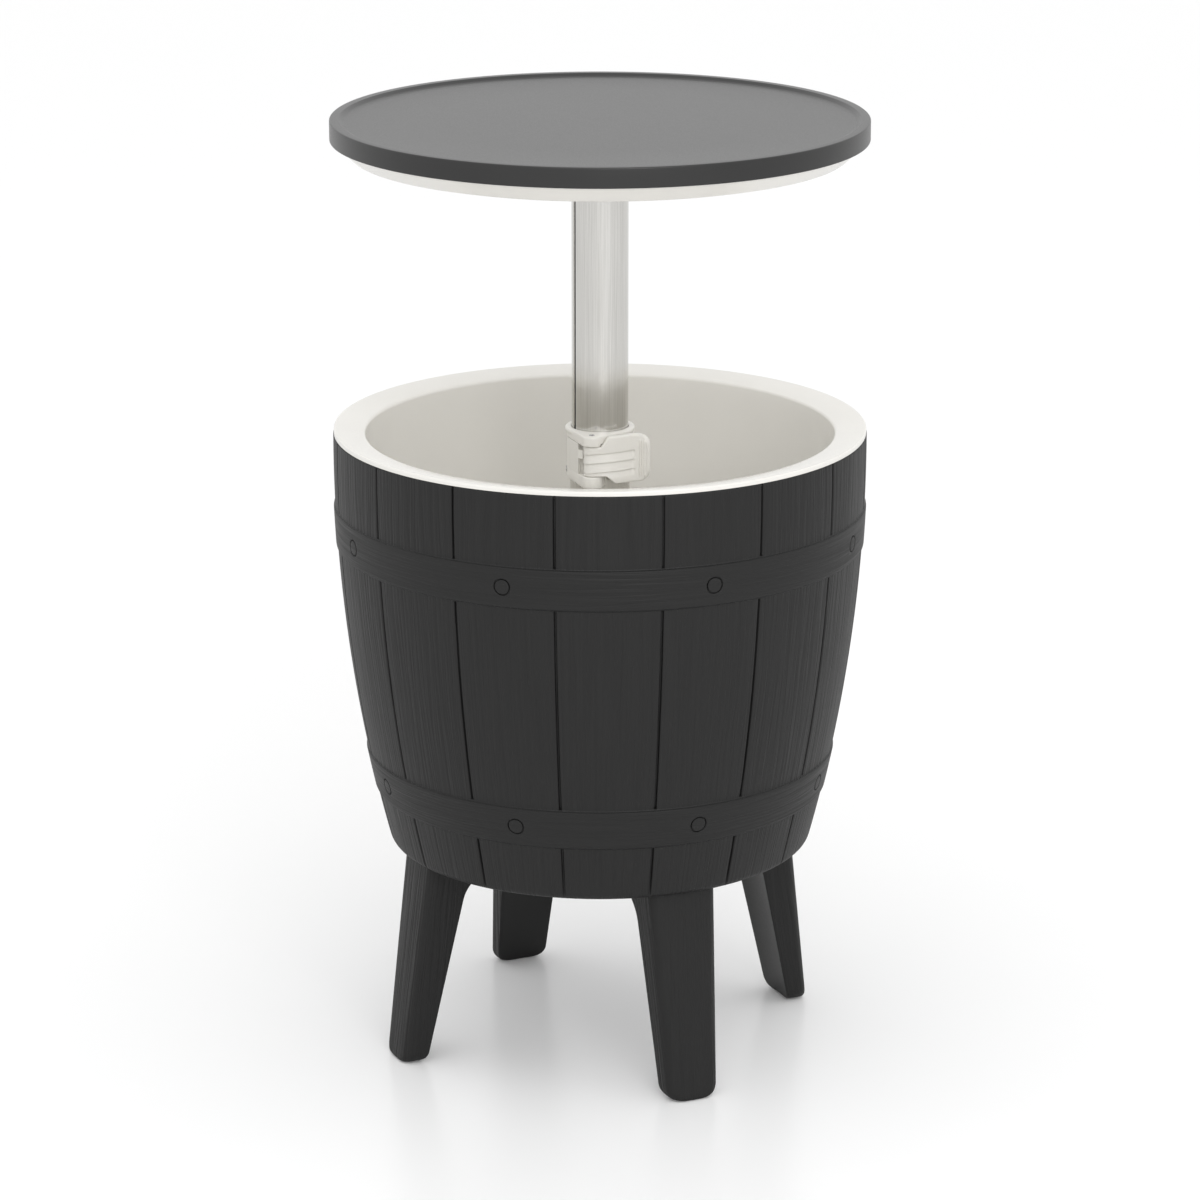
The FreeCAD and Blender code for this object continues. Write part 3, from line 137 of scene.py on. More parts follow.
def grid_quads(rows: int, columns: int, close_rows: bool, close_columns: bool) -> Index:
    """Quads of a grid: each joins a point to its neighbours in the next row and column.

    Args:
        rows: Number of rows.
        columns: Number of points in a row.
        close_rows: Whether the last row joins the first.
        close_columns: Whether the last column joins the first.

    Returns:
        Four point numbers for each quad.
    """
    row = np.arange(rows if close_rows else rows - 1)[:, None]
    column = np.arange(columns if close_columns else columns - 1)[None, :]
    next_row, next_column = (row + 1) % rows, (column + 1) % columns
    corners = [
        row * columns + column,
        row * columns + next_column,
        next_row * columns + next_column,
        next_row * columns + column,
    ]
    return np.stack(corners, axis=-1).reshape(-1, 4)


def grid_surface(
    points: Grid,
    close_rows: bool = False,
    close_columns: bool = True,
    uv: Grid | None = None,
) -> Surface:
    """A surface from a grid of points, rows by columns by three, turned outwards."""
    rows, columns = points.shape[:2]
    quads = grid_quads(rows, columns, close_rows, close_columns)
    flat_uv = None if uv is None else uv.reshape(-1, 2)
    return Surface(points.reshape(-1, 3), quads, flat_uv).outward()


def rounded(corners: Sequence[Numbers], radii: Numbers, closed: bool,
            steps: int = 5) -> Grid:
    """An outline with an arc at each corner.

    With unit vectors a and b from a corner to its neighbours and the angle t between them, the
    arc's centre lies along a + b at radius / sin(t / 2), and its ends radius / tan(t / 2) away.
    The arc's points are the ends' vectors from the centre, mixed by sines.

    Args:
        corners: Two values each.
        radii: One radius for each corner, 0 for a sharp one.
        closed: Whether the outline closes. Otherwise its two ends stay as they are.
        steps: Number of spans in an arc.

    Returns:
        The points, without repeats.
    """
    middle = np.asarray(corners, float)
    radius = np.asarray(radii, float)[:, None]
    to_last = np.roll(middle, 1, axis=0) - middle
    to_next = np.roll(middle, -1, axis=0) - middle
    a = to_last / np.linalg.norm(to_last, axis=1, keepdims=True)
    b = to_next / np.linalg.norm(to_next, axis=1, keepdims=True)
    angle = np.arccos(np.clip((a * b).sum(1, keepdims=True), -0.999999, 0.999999))
    if not closed:
        radius[0], radius[-1] = 0, 0
    reach = radius / np.tan(angle / 2)
    bisector = (a + b) / np.maximum(np.linalg.norm(a + b, axis=1, keepdims=True), TINY)
    centre = middle + bisector * radius / np.sin(angle / 2)
    share = np.linspace(0, 1, steps + 1)[None, :, None]
    start = (middle + a * reach - centre)[:, None, :]
    end = (middle + b * reach - centre)[:, None, :]
    wide = (np.pi - angle)[:, None, :]
    mixed = (np.sin((1 - share) * wide) * start + np.sin(share * wide) * end) / np.sin(wide)
    points = (centre[:, None, :] + mixed).reshape(-1, 2)
    fresh = np.linalg.norm(points - np.roll(points, 1, axis=0), axis=1) > 1e-5
    fresh[0] = fresh[0] or not closed
    return points[fresh]


def cylindrical(reach: Grid, turn: Grid, height: Grid) -> Grid:
    """Points from distances to the upright axis, turns in radians, and heights."""
    return np.stack(np.broadcast_arrays(reach * np.sin(turn), -reach * np.cos(turn), height), -1)


def around(radius: float, turn: float, height: float = 0.0) -> tuple[float, float, float]:
    """One place at a distance from the upright axis and a turn in degrees."""
    way = math.radians(turn)
    return radius * math.sin(way), -radius * math.cos(way), height


def turned(profile: Grid, steps: int = 128, ring: bool = False) -> Surface:
    """A surface of revolution about the upright axis, from profile points (r, z)."""
    turn = np.linspace(0, 2 * np.pi, steps, endpoint=False)
    return grid_surface(cylindrical(profile[:, :1], turn, profile[:, 1:]), close_rows=ring)


def lathe(corners: Sequence[Numbers], radii: Numbers, spans: int, steps: int) -> Surface:
    """A solid of revolution from the corners (r, z) of its section and an arc's radius at each."""
    return turned(rounded(corners, radii, False, spans), steps)


def cylinder(radius: float, low: float, high: float, steps: int) -> Surface:
    """A closed cylinder about the upright axis."""
    return turned(np.array([[0, low], [radius, low], [radius, high], [0, high]]), steps)


def hoop(inner: float, outer: float, low: float, high: float, steps: int,
         edges: Numbers = (0, 0), spans: int = 1) -> Surface:
    """A square ring about the upright axis, with an edge radius inside and one outside."""
    section = rounded([(inner, low), (outer, low), (outer, high), (inner, high)],
                      [*edges, *edges[::-1]], True, spans)
    return turned(section, steps, ring=True)


def prism(outline: Grid, low: float, high: float, edge: float, steps: int) -> Surface:
    """An outline carried upwards, with rounded rims and flat ends.

    Each row is the outline moved along its own inward normal by edge * (1 - sin t), at a height
    edge * (1 - cos t) from the end, for t from 0 to a right angle. The ends close on the middle.
    """
    tangent = np.roll(outline, -1, axis=0) - np.roll(outline, 1, axis=0)
    tangent /= np.linalg.norm(tangent, axis=1, keepdims=True)
    normal = np.stack([tangent[:, 1], -tangent[:, 0]], axis=1)
    x, y = outline.T
    inward = -normal * np.sign(np.sum(x * np.roll(y, -1)) - np.sum(y * np.roll(x, -1)))
    angle = np.linspace(0, np.pi / 2, steps + 1)
    inset, rise = edge * (1 - np.sin(angle)), edge * (1 - np.cos(angle))
    inset = np.concatenate([inset, inset[::-1]])[:, None, None]
    height = np.concatenate([low + rise, high - rise[::-1]])[:, None, None]
    flat = outline + inward * inset
    points = np.concatenate([flat, height + 0 * flat[..., :1]], axis=-1)
    ends = [np.broadcast_to(np.append(outline.mean(0), z), (1, len(outline), 3))
            for z in (low, high)]
    return grid_surface(np.concatenate([ends[0], points, ends[1]]))


def smooth_step(value: Grid, low: float, high: float) -> Grid:
    """0 below low, 1 above high, and 3t^2 - 2t^3 between."""
    share = np.clip((value - low) / (high - low), 0, 1)
    return share * share * (3 - 2 * share)


def link(name: str, data: bpy.types.ID) -> bpy.types.Object:
    """Makes an object at the origin and puts it into the scene."""
    piece = bpy.data.objects.new(name, data)
    bpy.context.scene.collection.objects.link(piece)
    return piece


def smooth(mesh: bpy.types.Mesh, sharp: float) -> None:
    """Shades a mesh smooth, apart from edges of more than sharp degrees."""
    mesh.polygons.foreach_set("use_smooth", np.ones(len(mesh.polygons), dtype=bool))
    mesh.set_sharp_from_angle(angle=math.radians(sharp))

def make_piece(name: str, surfaces: Iterable[Surface], sharp: float = 32.0) -> bpy.types.Object:
    """Puts surfaces into one mesh object, with coincident points made one.

    Args:
        name: The object's name.
        surfaces: What goes into the mesh.
        sharp: Degrees between faces past which an edge stays sharp.

    Returns:
        The object, at the origin.
    """
    surfaces = list(surfaces)
    starts = np.cumsum([0] + [len(s.points) for s in surfaces])[:-1]
    points = np.concatenate([s.points for s in surfaces])
    quads = np.concatenate([s.quads + start for s, start in zip(surfaces, starts)])
    group = np.concatenate([np.full(len(s.points), i) for i, s in enumerate(surfaces)])
    keys = np.column_stack([np.round(points, 4), group])
    _, first, number = np.unique(keys, axis=0, return_index=True, return_inverse=True)
    number = number.reshape(-1)
    corners = number[quads]
    keep = corners != np.roll(corners, 1, axis=1)
    opposite = (corners[:, 0] == corners[:, 2]) | (corners[:, 1] == corners[:, 3])
    whole = (keep.sum(1) >= 3) & ~opposite
    corners, keep, quads = corners[whole], keep[whole], quads[whole]
    counts = keep.sum(1)
    mesh = bpy.data.meshes.new(name)
    mesh.vertices.add(len(first))
    mesh.vertices.foreach_set("co", (points[first] * MM).astype(np.float32).ravel())
    mesh.loops.add(int(counts.sum()))
    mesh.loops.foreach_set("vertex_index", corners[keep].astype(np.int32))
    mesh.polygons.add(len(counts))
    mesh.polygons.foreach_set("loop_start", (np.cumsum(counts) - counts).astype(np.int32))
    if any(s.uv is not None for s in surfaces):
        uv = np.concatenate([np.zeros((len(s.points), 2)) if s.uv is None else s.uv
                             for s in surfaces])
        layer = mesh.uv_layers.new(name="grain")
        layer.data.foreach_set("uv", uv[quads[keep]].astype(np.float32).ravel())
    mesh.update(calc_edges=True)
    mesh.validate()
    smooth(mesh, sharp)
    return link(name, mesh)


def carve(piece: bpy.types.Object, cutters: Iterable[Surface]) -> None:
    """Takes the cutters' volume out of a piece, for good."""
    tool = make_piece(piece.name + "_cutter", cutters)
    change = piece.modifiers.new("carve", "BOOLEAN")
    change.operation = "DIFFERENCE"
    change.solver = "EXACT"
    change.object = tool
    bpy.context.view_layer.update()
    graph = bpy.context.evaluated_depsgraph_get()
    carved = bpy.data.meshes.new_from_object(piece.evaluated_get(graph))
    piece.modifiers.remove(change)
    old = piece.data
    piece.data = carved
    bpy.data.meshes.remove(old)
    bpy.data.objects.remove(tool)
    carved.name = piece.name


def soft_copy(node: str, name: str, edge: float, sharp: float = 32.0) -> bpy.types.Object:
    """A copy of a solid's mesh with its points joined, smooth faces and rounded edges.

    Args:
        node: The solid to copy.
        name: The new object's name.
        edge: Width of the rounding in millimetres.
        sharp: Degrees between faces past which an edge is rounded.

    Returns:
        The object.
    """
    mesh = bpy.data.objects[node].data.copy()
    mesh.name = name
    work = bmesh.new()
    work.from_mesh(mesh)
    bmesh.ops.remove_doubles(work, verts=work.verts, dist=2e-6)
    bmesh.ops.dissolve_degenerate(work, edges=work.edges, dist=1e-6)
    work.to_mesh(mesh)
    work.free()
    smooth(mesh, sharp)
    piece = link(name, mesh)
    change = piece.modifiers.new("edge", "BEVEL")
    change.width = edge * MM
    change.segments = 2
    change.limit_method = "ANGLE"
    change.angle_limit = math.radians(sharp)
    change.harden_normals = True
    return piece


def disc_offsets(lines: Numbers) -> Grid:
    """Grid lines on both sides of a middle line, from distances that start with 0."""
    distance = np.asarray(lines, float)
    return np.concatenate([-distance[:0:-1], distance])


def round_square(u: Grid, v: Grid, start: float, full: float, blend: Numbers) -> Grid:
    """Factor that bends the squares of a grid round a middle point into circles.

    A point on the square of half side c = max(|u|, |v|) moves to the circle of radius c when it
    is multiplied by c / sqrt(u^2 + v^2). The factor grows from 1 at c = start to this at
    c = full, holds, and falls back to 1 between the two blend distances.
    """
    side = np.maximum(np.abs(u), np.abs(v))
    reach = np.maximum(np.hypot(u, v), TINY)
    share = smooth_step(side, start, full) if full > start else np.ones_like(side)
    share = share * (1 - smooth_step(side, blend[0], blend[1]))
    return 1 + (np.where(side > 0, side / reach, 1) - 1) * share


# ---- finishes -------------------------------------------------------------------------------


class Nodes:
    """Short ways to add shader nodes to a material."""

    def __init__(self, name: str) -> None:
        """Starts a material with a principled shader."""
        self.material = bpy.data.materials.new(name)
        self.material.use_nodes = True
        self.tree = self.material.node_tree
        self.shader = self.tree.nodes["Principled BSDF"]

    def add(self, kind: str, **settings: object) -> bpy.types.Node:
        """Adds a node. A setting is a property of the node, or one of its sockets' names."""
        node = self.tree.nodes.new(kind)
        for key, value in settings.items():
            if hasattr(node, key):
                setattr(node, key, value)
            else:
                node.inputs[key.replace("_", " ")].default_value = value
        return node

    def join(self, source: Socket, node: bpy.types.Node, socket: str | int) -> None:
        """Links an output to a node's input."""
        self.tree.links.new(source, node.inputs[socket])
        self.tree.links.new(source, node.inputs[socket])

    def stretch(self, vector: Socket, scale: Numbers) -> Socket:
        """Stretched coordinates."""
        mapping = self.add("ShaderNodeMapping", Scale=scale)
        self.join(vector, mapping, "Vector")
        return mapping.outputs["Vector"]

    def place(self, where: str, scale: Numbers = (1, 1, 1)) -> Socket:
        """Coordinates, Object or UV, stretched."""
        return self.stretch(self.add("ShaderNodeTexCoord").outputs[where], scale)

    def noise(self, vector: Socket, scale: float = 1.0, detail: float = 3.0,
              roughness: float = 0.55) -> Socket:
        """Noise from 0 to 1."""
        node = self.add("ShaderNodeTexNoise", Scale=scale, Detail=detail, Roughness=roughness)
        self.join(vector, node, "Vector")
        return node.outputs["Fac"]

    def math(self, operation: str, a: Socket, b: Socket | float) -> Socket:
        """One sum of two values."""
        node = self.add("ShaderNodeMath", operation=operation)
        self.join(a, node, 0)
        if isinstance(b, float):
            node.inputs[1].default_value = b
        else:
            self.join(b, node, 1)
        return node.outputs["Value"]

    def tint(self, tone: Socket, low: float, high: float, look: "Look") -> None:
        """Takes the shader's colour from dark to pale as a value goes from low to high."""
        node = self.add("ShaderNodeValToRGB")
        self.join(tone, node, "Fac")
        for element, position, color in zip(node.color_ramp.elements, (low, high),
                                            (look.dark, look.pale)):
            element.position = position
            element.color = (*color, 1.0)
        self.join(node.outputs["Color"], self.shader, "Base Color")

    def sheen(self, value: Socket, roughness: Numbers) -> None:
        """Carries the middle of a noise's range over to the shader's roughness."""
        node = self.add("ShaderNodeMapRange", From_Min=0.3, From_Max=0.7, To_Min=roughness[0],
                        To_Max=roughness[1])
        self.join(value, node, "Value")
        self.join(node.outputs["Result"], self.shader, "Roughness")

    def bump(self, height: Socket, strength: float, distance: float) -> None:
        """Puts a height, in units of distance, on the shader's normal."""
        node = self.add("ShaderNodeBump", Strength=strength, Distance=distance)
        self.join(height, node, "Height")
        self.join(node.outputs["Normal"], self.shader, "Normal")

    def plain(self, **sockets: float | Numbers) -> None:
        """Sets the shader's own sockets."""
        for key, value in sockets.items():
            self.shader.inputs[key.replace("_", " ")].default_value = value


@dataclass(frozen=True)
class Look:
    """What every finish has: its material's name and its two ends of colour."""

    name: str
    dark: Numbers
    pale: Numbers


@dataclass(frozen=True)
class GrainPlastic(Look):
    """Matte plastic with a moulded wood grain that runs along the second UV axis."""

    roughness: tuple[float, float]
    grain: float
    specular: float = 0.4
    bend: float = 0.010
    bend_scale: Numbers = (26, 5, 1)
    streak: Numbers = (320, 8, 1)
    fine_streak: Numbers = (760, 26, 1)
    fine_share: float = 0.28

    def build(self) -> bpy.types.Material:
        """Long streaks: noise stretched along the grain, bent a little by a slow noise."""
        nodes = Nodes(self.name)
        bent = nodes.add("ShaderNodeVectorMath", operation="MULTIPLY_ADD")
        nodes.join(nodes.noise(nodes.place("UV", self.bend_scale), detail=2.0), bent, 0)
        bent.inputs[1].default_value = (self.bend, 0, 0)
        nodes.join(nodes.place("UV"), bent, 2)
        way = bent.outputs["Vector"]
        streaks = nodes.noise(nodes.stretch(way, self.streak), detail=2.5, roughness=0.5)
        fine = nodes.noise(nodes.stretch(way, self.fine_streak), roughness=0.6)
        nodes.tint(streaks, 0.30, 0.72, self)
        nodes.sheen(streaks, self.roughness)
        height = nodes.math("ADD", streaks, nodes.math("MULTIPLY", fine, self.fine_share))
        nodes.bump(height, 1.0, self.grain)
        nodes.plain(Specular_IOR_Level=self.specular)
        return nodes.material


@dataclass(frozen=True)
class StipplePlastic(Look):
    """Moulded plastic with a fine stipple and a slight drift of tone."""

    roughness: tuple[float, float]
    stipple: float
    spacing: float
    specular: float = 0.5
    coat: float = 0.0

    def build(self) -> bpy.types.Material:
        """Fine noise for the stipple, and a slow noise for the tone and the sheen."""
        nodes = Nodes(self.name)
        place = nodes.place("Object")
        fine = nodes.noise(place, 1 / self.spacing, 2.0, 0.6)
        nodes.tint(nodes.noise(place, 9.0), 0.3, 0.7, self)
        nodes.sheen(fine, self.roughness)
        nodes.bump(fine, 1.0, self.stipple)
        nodes.plain(Specular_IOR_Level=self.specular, Coat_Weight=self.coat,
                    Coat_Roughness=0.12)
        return nodes.material


@dataclass(frozen=True)
class BrushedMetal(Look):
    """Metal with drawn lines along one axis."""

    stretch: Numbers
    roughness: tuple[float, float]
    depth: float

    def build(self) -> bpy.types.Material:
        """Noise that is long along the drawn lines and short across them."""
        nodes = Nodes(self.name)
        lines = nodes.noise(nodes.place("Object", self.stretch), roughness=0.6)
        slow = nodes.noise(nodes.place("Object", (30, 30, 3)), detail=2.0)
        tone = nodes.math("ADD", nodes.math("MULTIPLY", lines, 0.7),
                          nodes.math("MULTIPLY", slow, 0.3))
        nodes.tint(tone, 0.32, 0.68, self)
        nodes.sheen(lines, self.roughness)
        nodes.bump(lines, 0.6, self.depth)
        nodes.plain(Metallic=1.0)
        return nodes.material


@dataclass(frozen=True)
class CellFoam(Look):
    """Pale rigid foam with small cells."""

    cell: float = 0.0022

    def build(self) -> bpy.types.Material:
        """Distance to the nearest of many points gives the cells."""
        nodes = Nodes(self.name)
        cells = nodes.add("ShaderNodeTexVoronoi", Scale=1 / self.cell)
        nodes.join(nodes.place("Object"), cells, "Vector")
        distance = cells.outputs["Distance"]
        nodes.tint(distance, 0.05, 0.6, self)
        nodes.bump(distance, 0.5, self.cell / 4)
        nodes.plain(Roughness=0.9, Specular_IOR_Level=0.2)
        return nodes.material


class Finish(Enum):
    """Every finish of the table. Apart from LEG_INSIDE, each is named after its slot."""

    SHELL = GrainPlastic("shell_grain_plastic", (0.0048, 0.0047, 0.0046),
                         (0.0108, 0.0107, 0.0105), (0.47, 0.59), 0.0012)
    LEG = GrainPlastic("leg_grain_plastic", (0.0042, 0.0041, 0.0040), (0.0104, 0.0103, 0.0101),
                       (0.48, 0.66), 0.0018, 0.40)
    LEG_INSIDE = StipplePlastic("leg_inside_plastic", (0.0080, 0.0079, 0.0078),
                                (0.0105, 0.0104, 0.0102), (0.40, 0.48), 0.00002, 0.0012, 0.46)
    TABLE = StipplePlastic("table_satin_plastic", (0.0085, 0.0084, 0.0083),
                           (0.0115, 0.0114, 0.0112), (0.29, 0.36), 0.00003, 0.0009, 0.62)
    WHITE = StipplePlastic("white_gloss_plastic", (0.86, 0.843, 0.80), (0.89, 0.873, 0.83),
                           (0.18, 0.26), 0.00001, 0.0016, 0.5, 0.15)
    CLAMP = StipplePlastic("clamp_satin_plastic", (0.82, 0.80, 0.755), (0.855, 0.837, 0.79),
                           (0.30, 0.38), 0.00001, 0.0011)
    PLAIN = StipplePlastic("plain_grey_plastic", (0.085, 0.084, 0.083), (0.115, 0.114, 0.112),
                           (0.42, 0.55), 0.00003, 0.0010)
    RUBBER = StipplePlastic("black_rubber", (0.018, 0.018, 0.018), (0.030, 0.030, 0.030),
                            (0.65, 0.8), 0.00005, 0.0008, 0.3)
    TUBE = BrushedMetal("drawn_aluminium", (0.55, 0.54, 0.515), (0.76, 0.75, 0.725),
                        (1400, 1400, 12), (0.12, 0.22), 0.00003)
    STEEL = BrushedMetal("plated_steel", (0.42, 0.42, 0.43), (0.60, 0.60, 0.61),
                         (900, 900, 900), (0.22, 0.34), 0.00001)
    FOAM = CellFoam("rigid_foam", (0.62, 0.60, 0.54), (0.86, 0.84, 0.78))

    def material(self) -> bpy.types.Material:
        """The finish's material, made once."""
        made = bpy.data.materials.get(self.value.name)
        return made or self.value.build()


def dress(piece: bpy.types.Object, finish: Finish, body: Body,
          nodes: Sequence[str] = ()) -> bpy.types.Object:
    """Gives a piece its finish and its body, and hides the solids that it stands for.

    Args:
        piece: The object.
        finish: What it is made of.
        body: The rigid body that it moves with.
        nodes: Names of the solids it replaces.

    Returns:
        The object.
    """
    piece.data.materials.clear()
    piece.data.materials.append(finish.material())
    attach(piece, body.value)
    if nodes:
        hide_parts(*nodes)
    log.info("%s: %d points, %d faces, %s", piece.name, len(piece.data.vertices),
             len(piece.data.polygons), finish.value.name)
    return piece


def show(name: str, surfaces: Iterable[Surface], finish: Finish, body: Body,
         nodes: Sequence[str] = (), sharp: float = 32.0,
         cutters: Sequence[Surface] = ()) -> bpy.types.Object:
    """Makes a piece from surfaces, carves it where it has cutters, and dresses it."""
    piece = make_piece(name, surfaces, sharp)
    if cutters:
        carve(piece, cutters)
    return dress(piece, finish, body, nodes)


def finish_faces(piece: bpy.types.Object, finish: Finish, attribute: str,
                 chosen: Callable[[Grid, Grid, Grid], Grid]) -> None:
    """Gives some of a piece's faces a second finish.

    Args:
        piece: The object.
        finish: The second finish.
        attribute: What the choice looks at: normal, or center in metres.
        chosen: Turns the x, y and z of all faces into true or false.
    """
    mesh = piece.data
    mesh.materials.append(finish.material())
    values = np.zeros(len(mesh.polygons) * 3, dtype=np.float32)
    mesh.polygons.foreach_get(attribute, values)
    picked = chosen(*values.astype(float).reshape(-1, 3).T)
    mesh.polygons.foreach_set("material_index", picked.astype(np.int32))

def paint_node(node: str, finish: Finish) -> None:
    """Gives a carried-over solid a finish."""
    mesh = bpy.data.objects[node].data
    mesh.materials.clear()
    mesh.materials.append(finish.material())
    log.info("%s: carried over, %s", node, finish.value.name)


# ---- barrel ---------------------------------------------------------------------------------


@dataclass
class BarrelShell:
    """Moulded shell of the barrel: staves, two bands and rivet heads in one piece.

    The wall's radius at height z is belly_radius - curve + sqrt(curve^2 - (z - belly_height)^2).
    """

    base: float = 177.4
    top: float = 532.4
    belly_radius: float = 222.8
    belly_height: float = 519.4
    curve: float = 1330.0
    wall: float = 3.0
    corner: float = 8.5
    staves: int = 16
    groove_lines: Numbers = (0, 0.5, 0.85, 1.0, 1.3, 2.4)
    groove_shape: Numbers = (1.0, 1.0, 0.88, 0.25, 0.04, 0.0)
    groove_depth: float = 2.5
    bands: Numbers = (244.0, 454.2)
    band_half: float = 18.0
    band_proud: float = 1.3
    rivet_lines: Numbers = (0, 2, 4, 5.2, 5.75, 6.0, 6.25, 6.95, 7.2, 7.6, 8.8, 10)
    rivet_depth: float = 1.5
    rivet_blend: Numbers = (7.7, 10.0)
    head_radius: float = 6.0
    ring_lines: Numbers = (5.75, 6.0, 6.25, 6.95, 7.2, 7.6)
    ring_shape: Numbers = (0, 0.12, 1, 1, 0.12, 0)
    drain_offset: float = 112.0
    drain_radius: float = 15.3
    floor_rings: Numbers = (60.0, 115.0, 145.0)
    dome: float = 0.15
    grain_round: float = 0.21
    grain_step: Numbers = (0.383, 0.117)

    def radius(self, z: Grid | float, inset: float = 0.0) -> Grid:
        """Radius of the wall at height z, moved inwards by inset."""
        curve = self.curve - inset
        return self.belly_radius - self.curve + np.sqrt(curve**2 - (z - self.belly_height) ** 2)

    def rows(self) -> tuple[Grid, Grid]:
        """Section of the shell from the middle of its floor up the wall and back inside.

        Returns:
            Points (r, z), and for each its share of a groove's depth, its share of a band's
            height, and its height over a band's middle where the rivets are, or else FAR.
        """
        base, top, high = self.base, self.top, self.base + 26
        corner = rounded([(0, base), (self.radius(base), base), (self.radius(high), high)],
                         [0, self.corner, 0], False, 7)[1:-1]
        head = np.concatenate([[(r, base) for r in (0, *self.floor_rings)], corner])
        half, clear = self.band_half, self.band_half + 2
        edge = half - np.array([2.6, 1.6, 0.7, 0, -0.02])
        across = disc_offsets([*self.rivet_lines, half - 4.6, *edge])
        lift = np.interp(np.abs(across), edge, [1.0, 0.86, 0.50, 0, 0])
        cut = (np.abs(across) > half + 0.01).astype(float)
        over = np.where(np.abs(across) <= self.rivet_lines[-1], across, FAR)

        def free(z: Grid) -> Grid:
            """Rows at some heights between the bands."""
            return np.stack([z, 0 * z + 1, 0 * z, 0 * z + FAR])

        def banded(middle: float) -> Grid:
            """Rows over a band and its edges."""
            return np.stack([across + middle, cut, lift, over])

        lower, upper = self.bands
        outside = np.concatenate([
            free(np.linspace(corner[-1, 1], lower - clear, 5)[1:]), banded(lower),
            free(np.linspace(lower + clear, upper - clear, 14)), banded(upper),
            free(np.append(np.linspace(upper + clear, top - 3, 6), [top - 1.0, top - 0.3, top])),
        ], axis=1)
        wall = np.stack([self.radius(outside[0]), outside[0]], axis=1)
        wall[-2:, 0] -= (0.3, 1.0)
        inside = np.array([top, 500, 440, 380, 320, 260, 215, base + 14])
        inner = np.stack([self.radius(inside, self.wall), inside], axis=1)
        floor = base + self.wall
        inner_corner = rounded([inner[-1], (self.radius(base, self.wall), floor), (0, floor)],
                               [0, self.corner - self.wall, 0], False, 3)[1:]
        points = np.concatenate([head, wall, inner, inner_corner])
        marks = np.zeros((3, len(points)))
        marks[2] = FAR
        marks[0, : len(head)] = np.clip((head[:, 1] - base) / self.corner, 0, 1) ** 1.5
        marks[:, len(head): len(head) + len(wall)] = outside[1:]
        return points, marks

    def columns(self) -> Grid:
        """Grid lines round the barrel, from the groove behind on the left and back to it.

        A stave goes from the middle of one groove to the next. Every second one passes a
        rivet's lines on its way. The lines between are spread evenly.

        Returns:
            Anchor turns in degrees, distances from them in millimetres, 1 where a line belongs
            to a rivet, the groove's share of depth, and the number of the stave.
        """
        step = 360 / self.staves
        groove, rivet = disc_offsets(self.groove_lines), disc_offsets(self.rivet_lines)
        half = len(self.groove_shape)
        start, end = groove[half - 1:], groove[:half]
        parts = []
        for stave in range(self.staves):
            centre = -180 + step * (stave + 1)
            stops = [(centre - step / 2, start, 0), (centre + step / 2, end, 0)]
            if stave % 2:
                stops.insert(1, (centre, rivet, 1))
            share = np.linspace(0, 1, 5 if stave % 2 else 11)[1:-1]
            lines = []
            for (turn, offset, mark), (next_turn, following, _) in zip(stops, stops[1:]):
                gap = following[0] - offset[-1]
                lines += [np.stack([turn + 0 * offset, offset, mark + 0 * offset]),
                          np.stack([turn + (next_turn - turn) * share, offset[-1] + gap * share,
                                    0 * share])]
            lines.append(np.stack([stops[-1][0] + 0 * end, end, 0 * end]))
            line = np.concatenate(lines, axis=1)
            cut = np.zeros(line.shape[1])
            cut[:half], cut[-half:] = self.groove_shape, self.groove_shape[::-1]
            parts.append(np.vstack([line, cut, np.full(len(cut), stave)]))
        return np.concatenate(parts, axis=1)

    def surface(self) -> Surface:
        """The whole shell as one closed grid.

        A column lies at its anchor plus its distance over the row's radius. Round a rivet the
        squares of the grid are bent into circles, with a sunk ring at ring_lines and a head that
        rises dome * (1 - (c / head_radius)^2) inside it. Grooves are sunk and bands are raised
        along the section's normal. The grain runs upwards on the staves, with its own part of
        the pattern on each, and round the barrel on the bands.
        """
        section, (groove_row, band_row, over) = self.rows()
        anchor, offset, rivet_column, groove_column, stave = self.columns()
        mark = (np.abs(over) <= self.rivet_lines[-1])[:, None] * rivet_column
        u, v = np.broadcast_arrays(offset, over[:, None])
        factor = 1 + (round_square(u, v, 0.0, 0.0, self.rivet_blend) - 1) * mark
        side = np.maximum(np.abs(u), np.abs(v))
        moved_u, moved_v = u * factor, v * (factor - 1) * mark
        sunk = np.interp(side, self.ring_lines, self.ring_shape)
        dome = self.dome * np.clip(1 - (side / self.head_radius) ** 2, 0, 1)
        tangent = np.gradient(section, axis=0)
        long = np.linalg.norm(tangent, axis=1, keepdims=True)
        normal = np.stack([tangent[:, 1], -tangent[:, 0]], axis=1) / np.maximum(long, TINY)
        rise = band_row[:, None] * self.band_proud + (dome - self.rivet_depth * sunk) * mark
        rise = rise - groove_row[:, None] * groove_column * self.groove_depth
        radius, z = section[:, :1], section[:, 1:]
        height = z + moved_v + normal[:, 1:] * rise
        reach = np.where(mark > 0, self.radius(z + moved_v), radius) + normal[:, :1] * rise
        turn = np.radians(anchor) + moved_u / np.maximum(radius, self.radius(self.base) - 14)
        flat = band_row[:, None] > 0.5
        across, up = turn * self.grain_round, height * MM
        uv = np.stack([np.where(flat, up, stave * self.grain_step[0] + across),
                       np.where(flat, across, up + stave * self.grain_step[1])], -1)
        return grid_surface(cylindrical(reach, turn, height), close_columns=False, uv=uv)

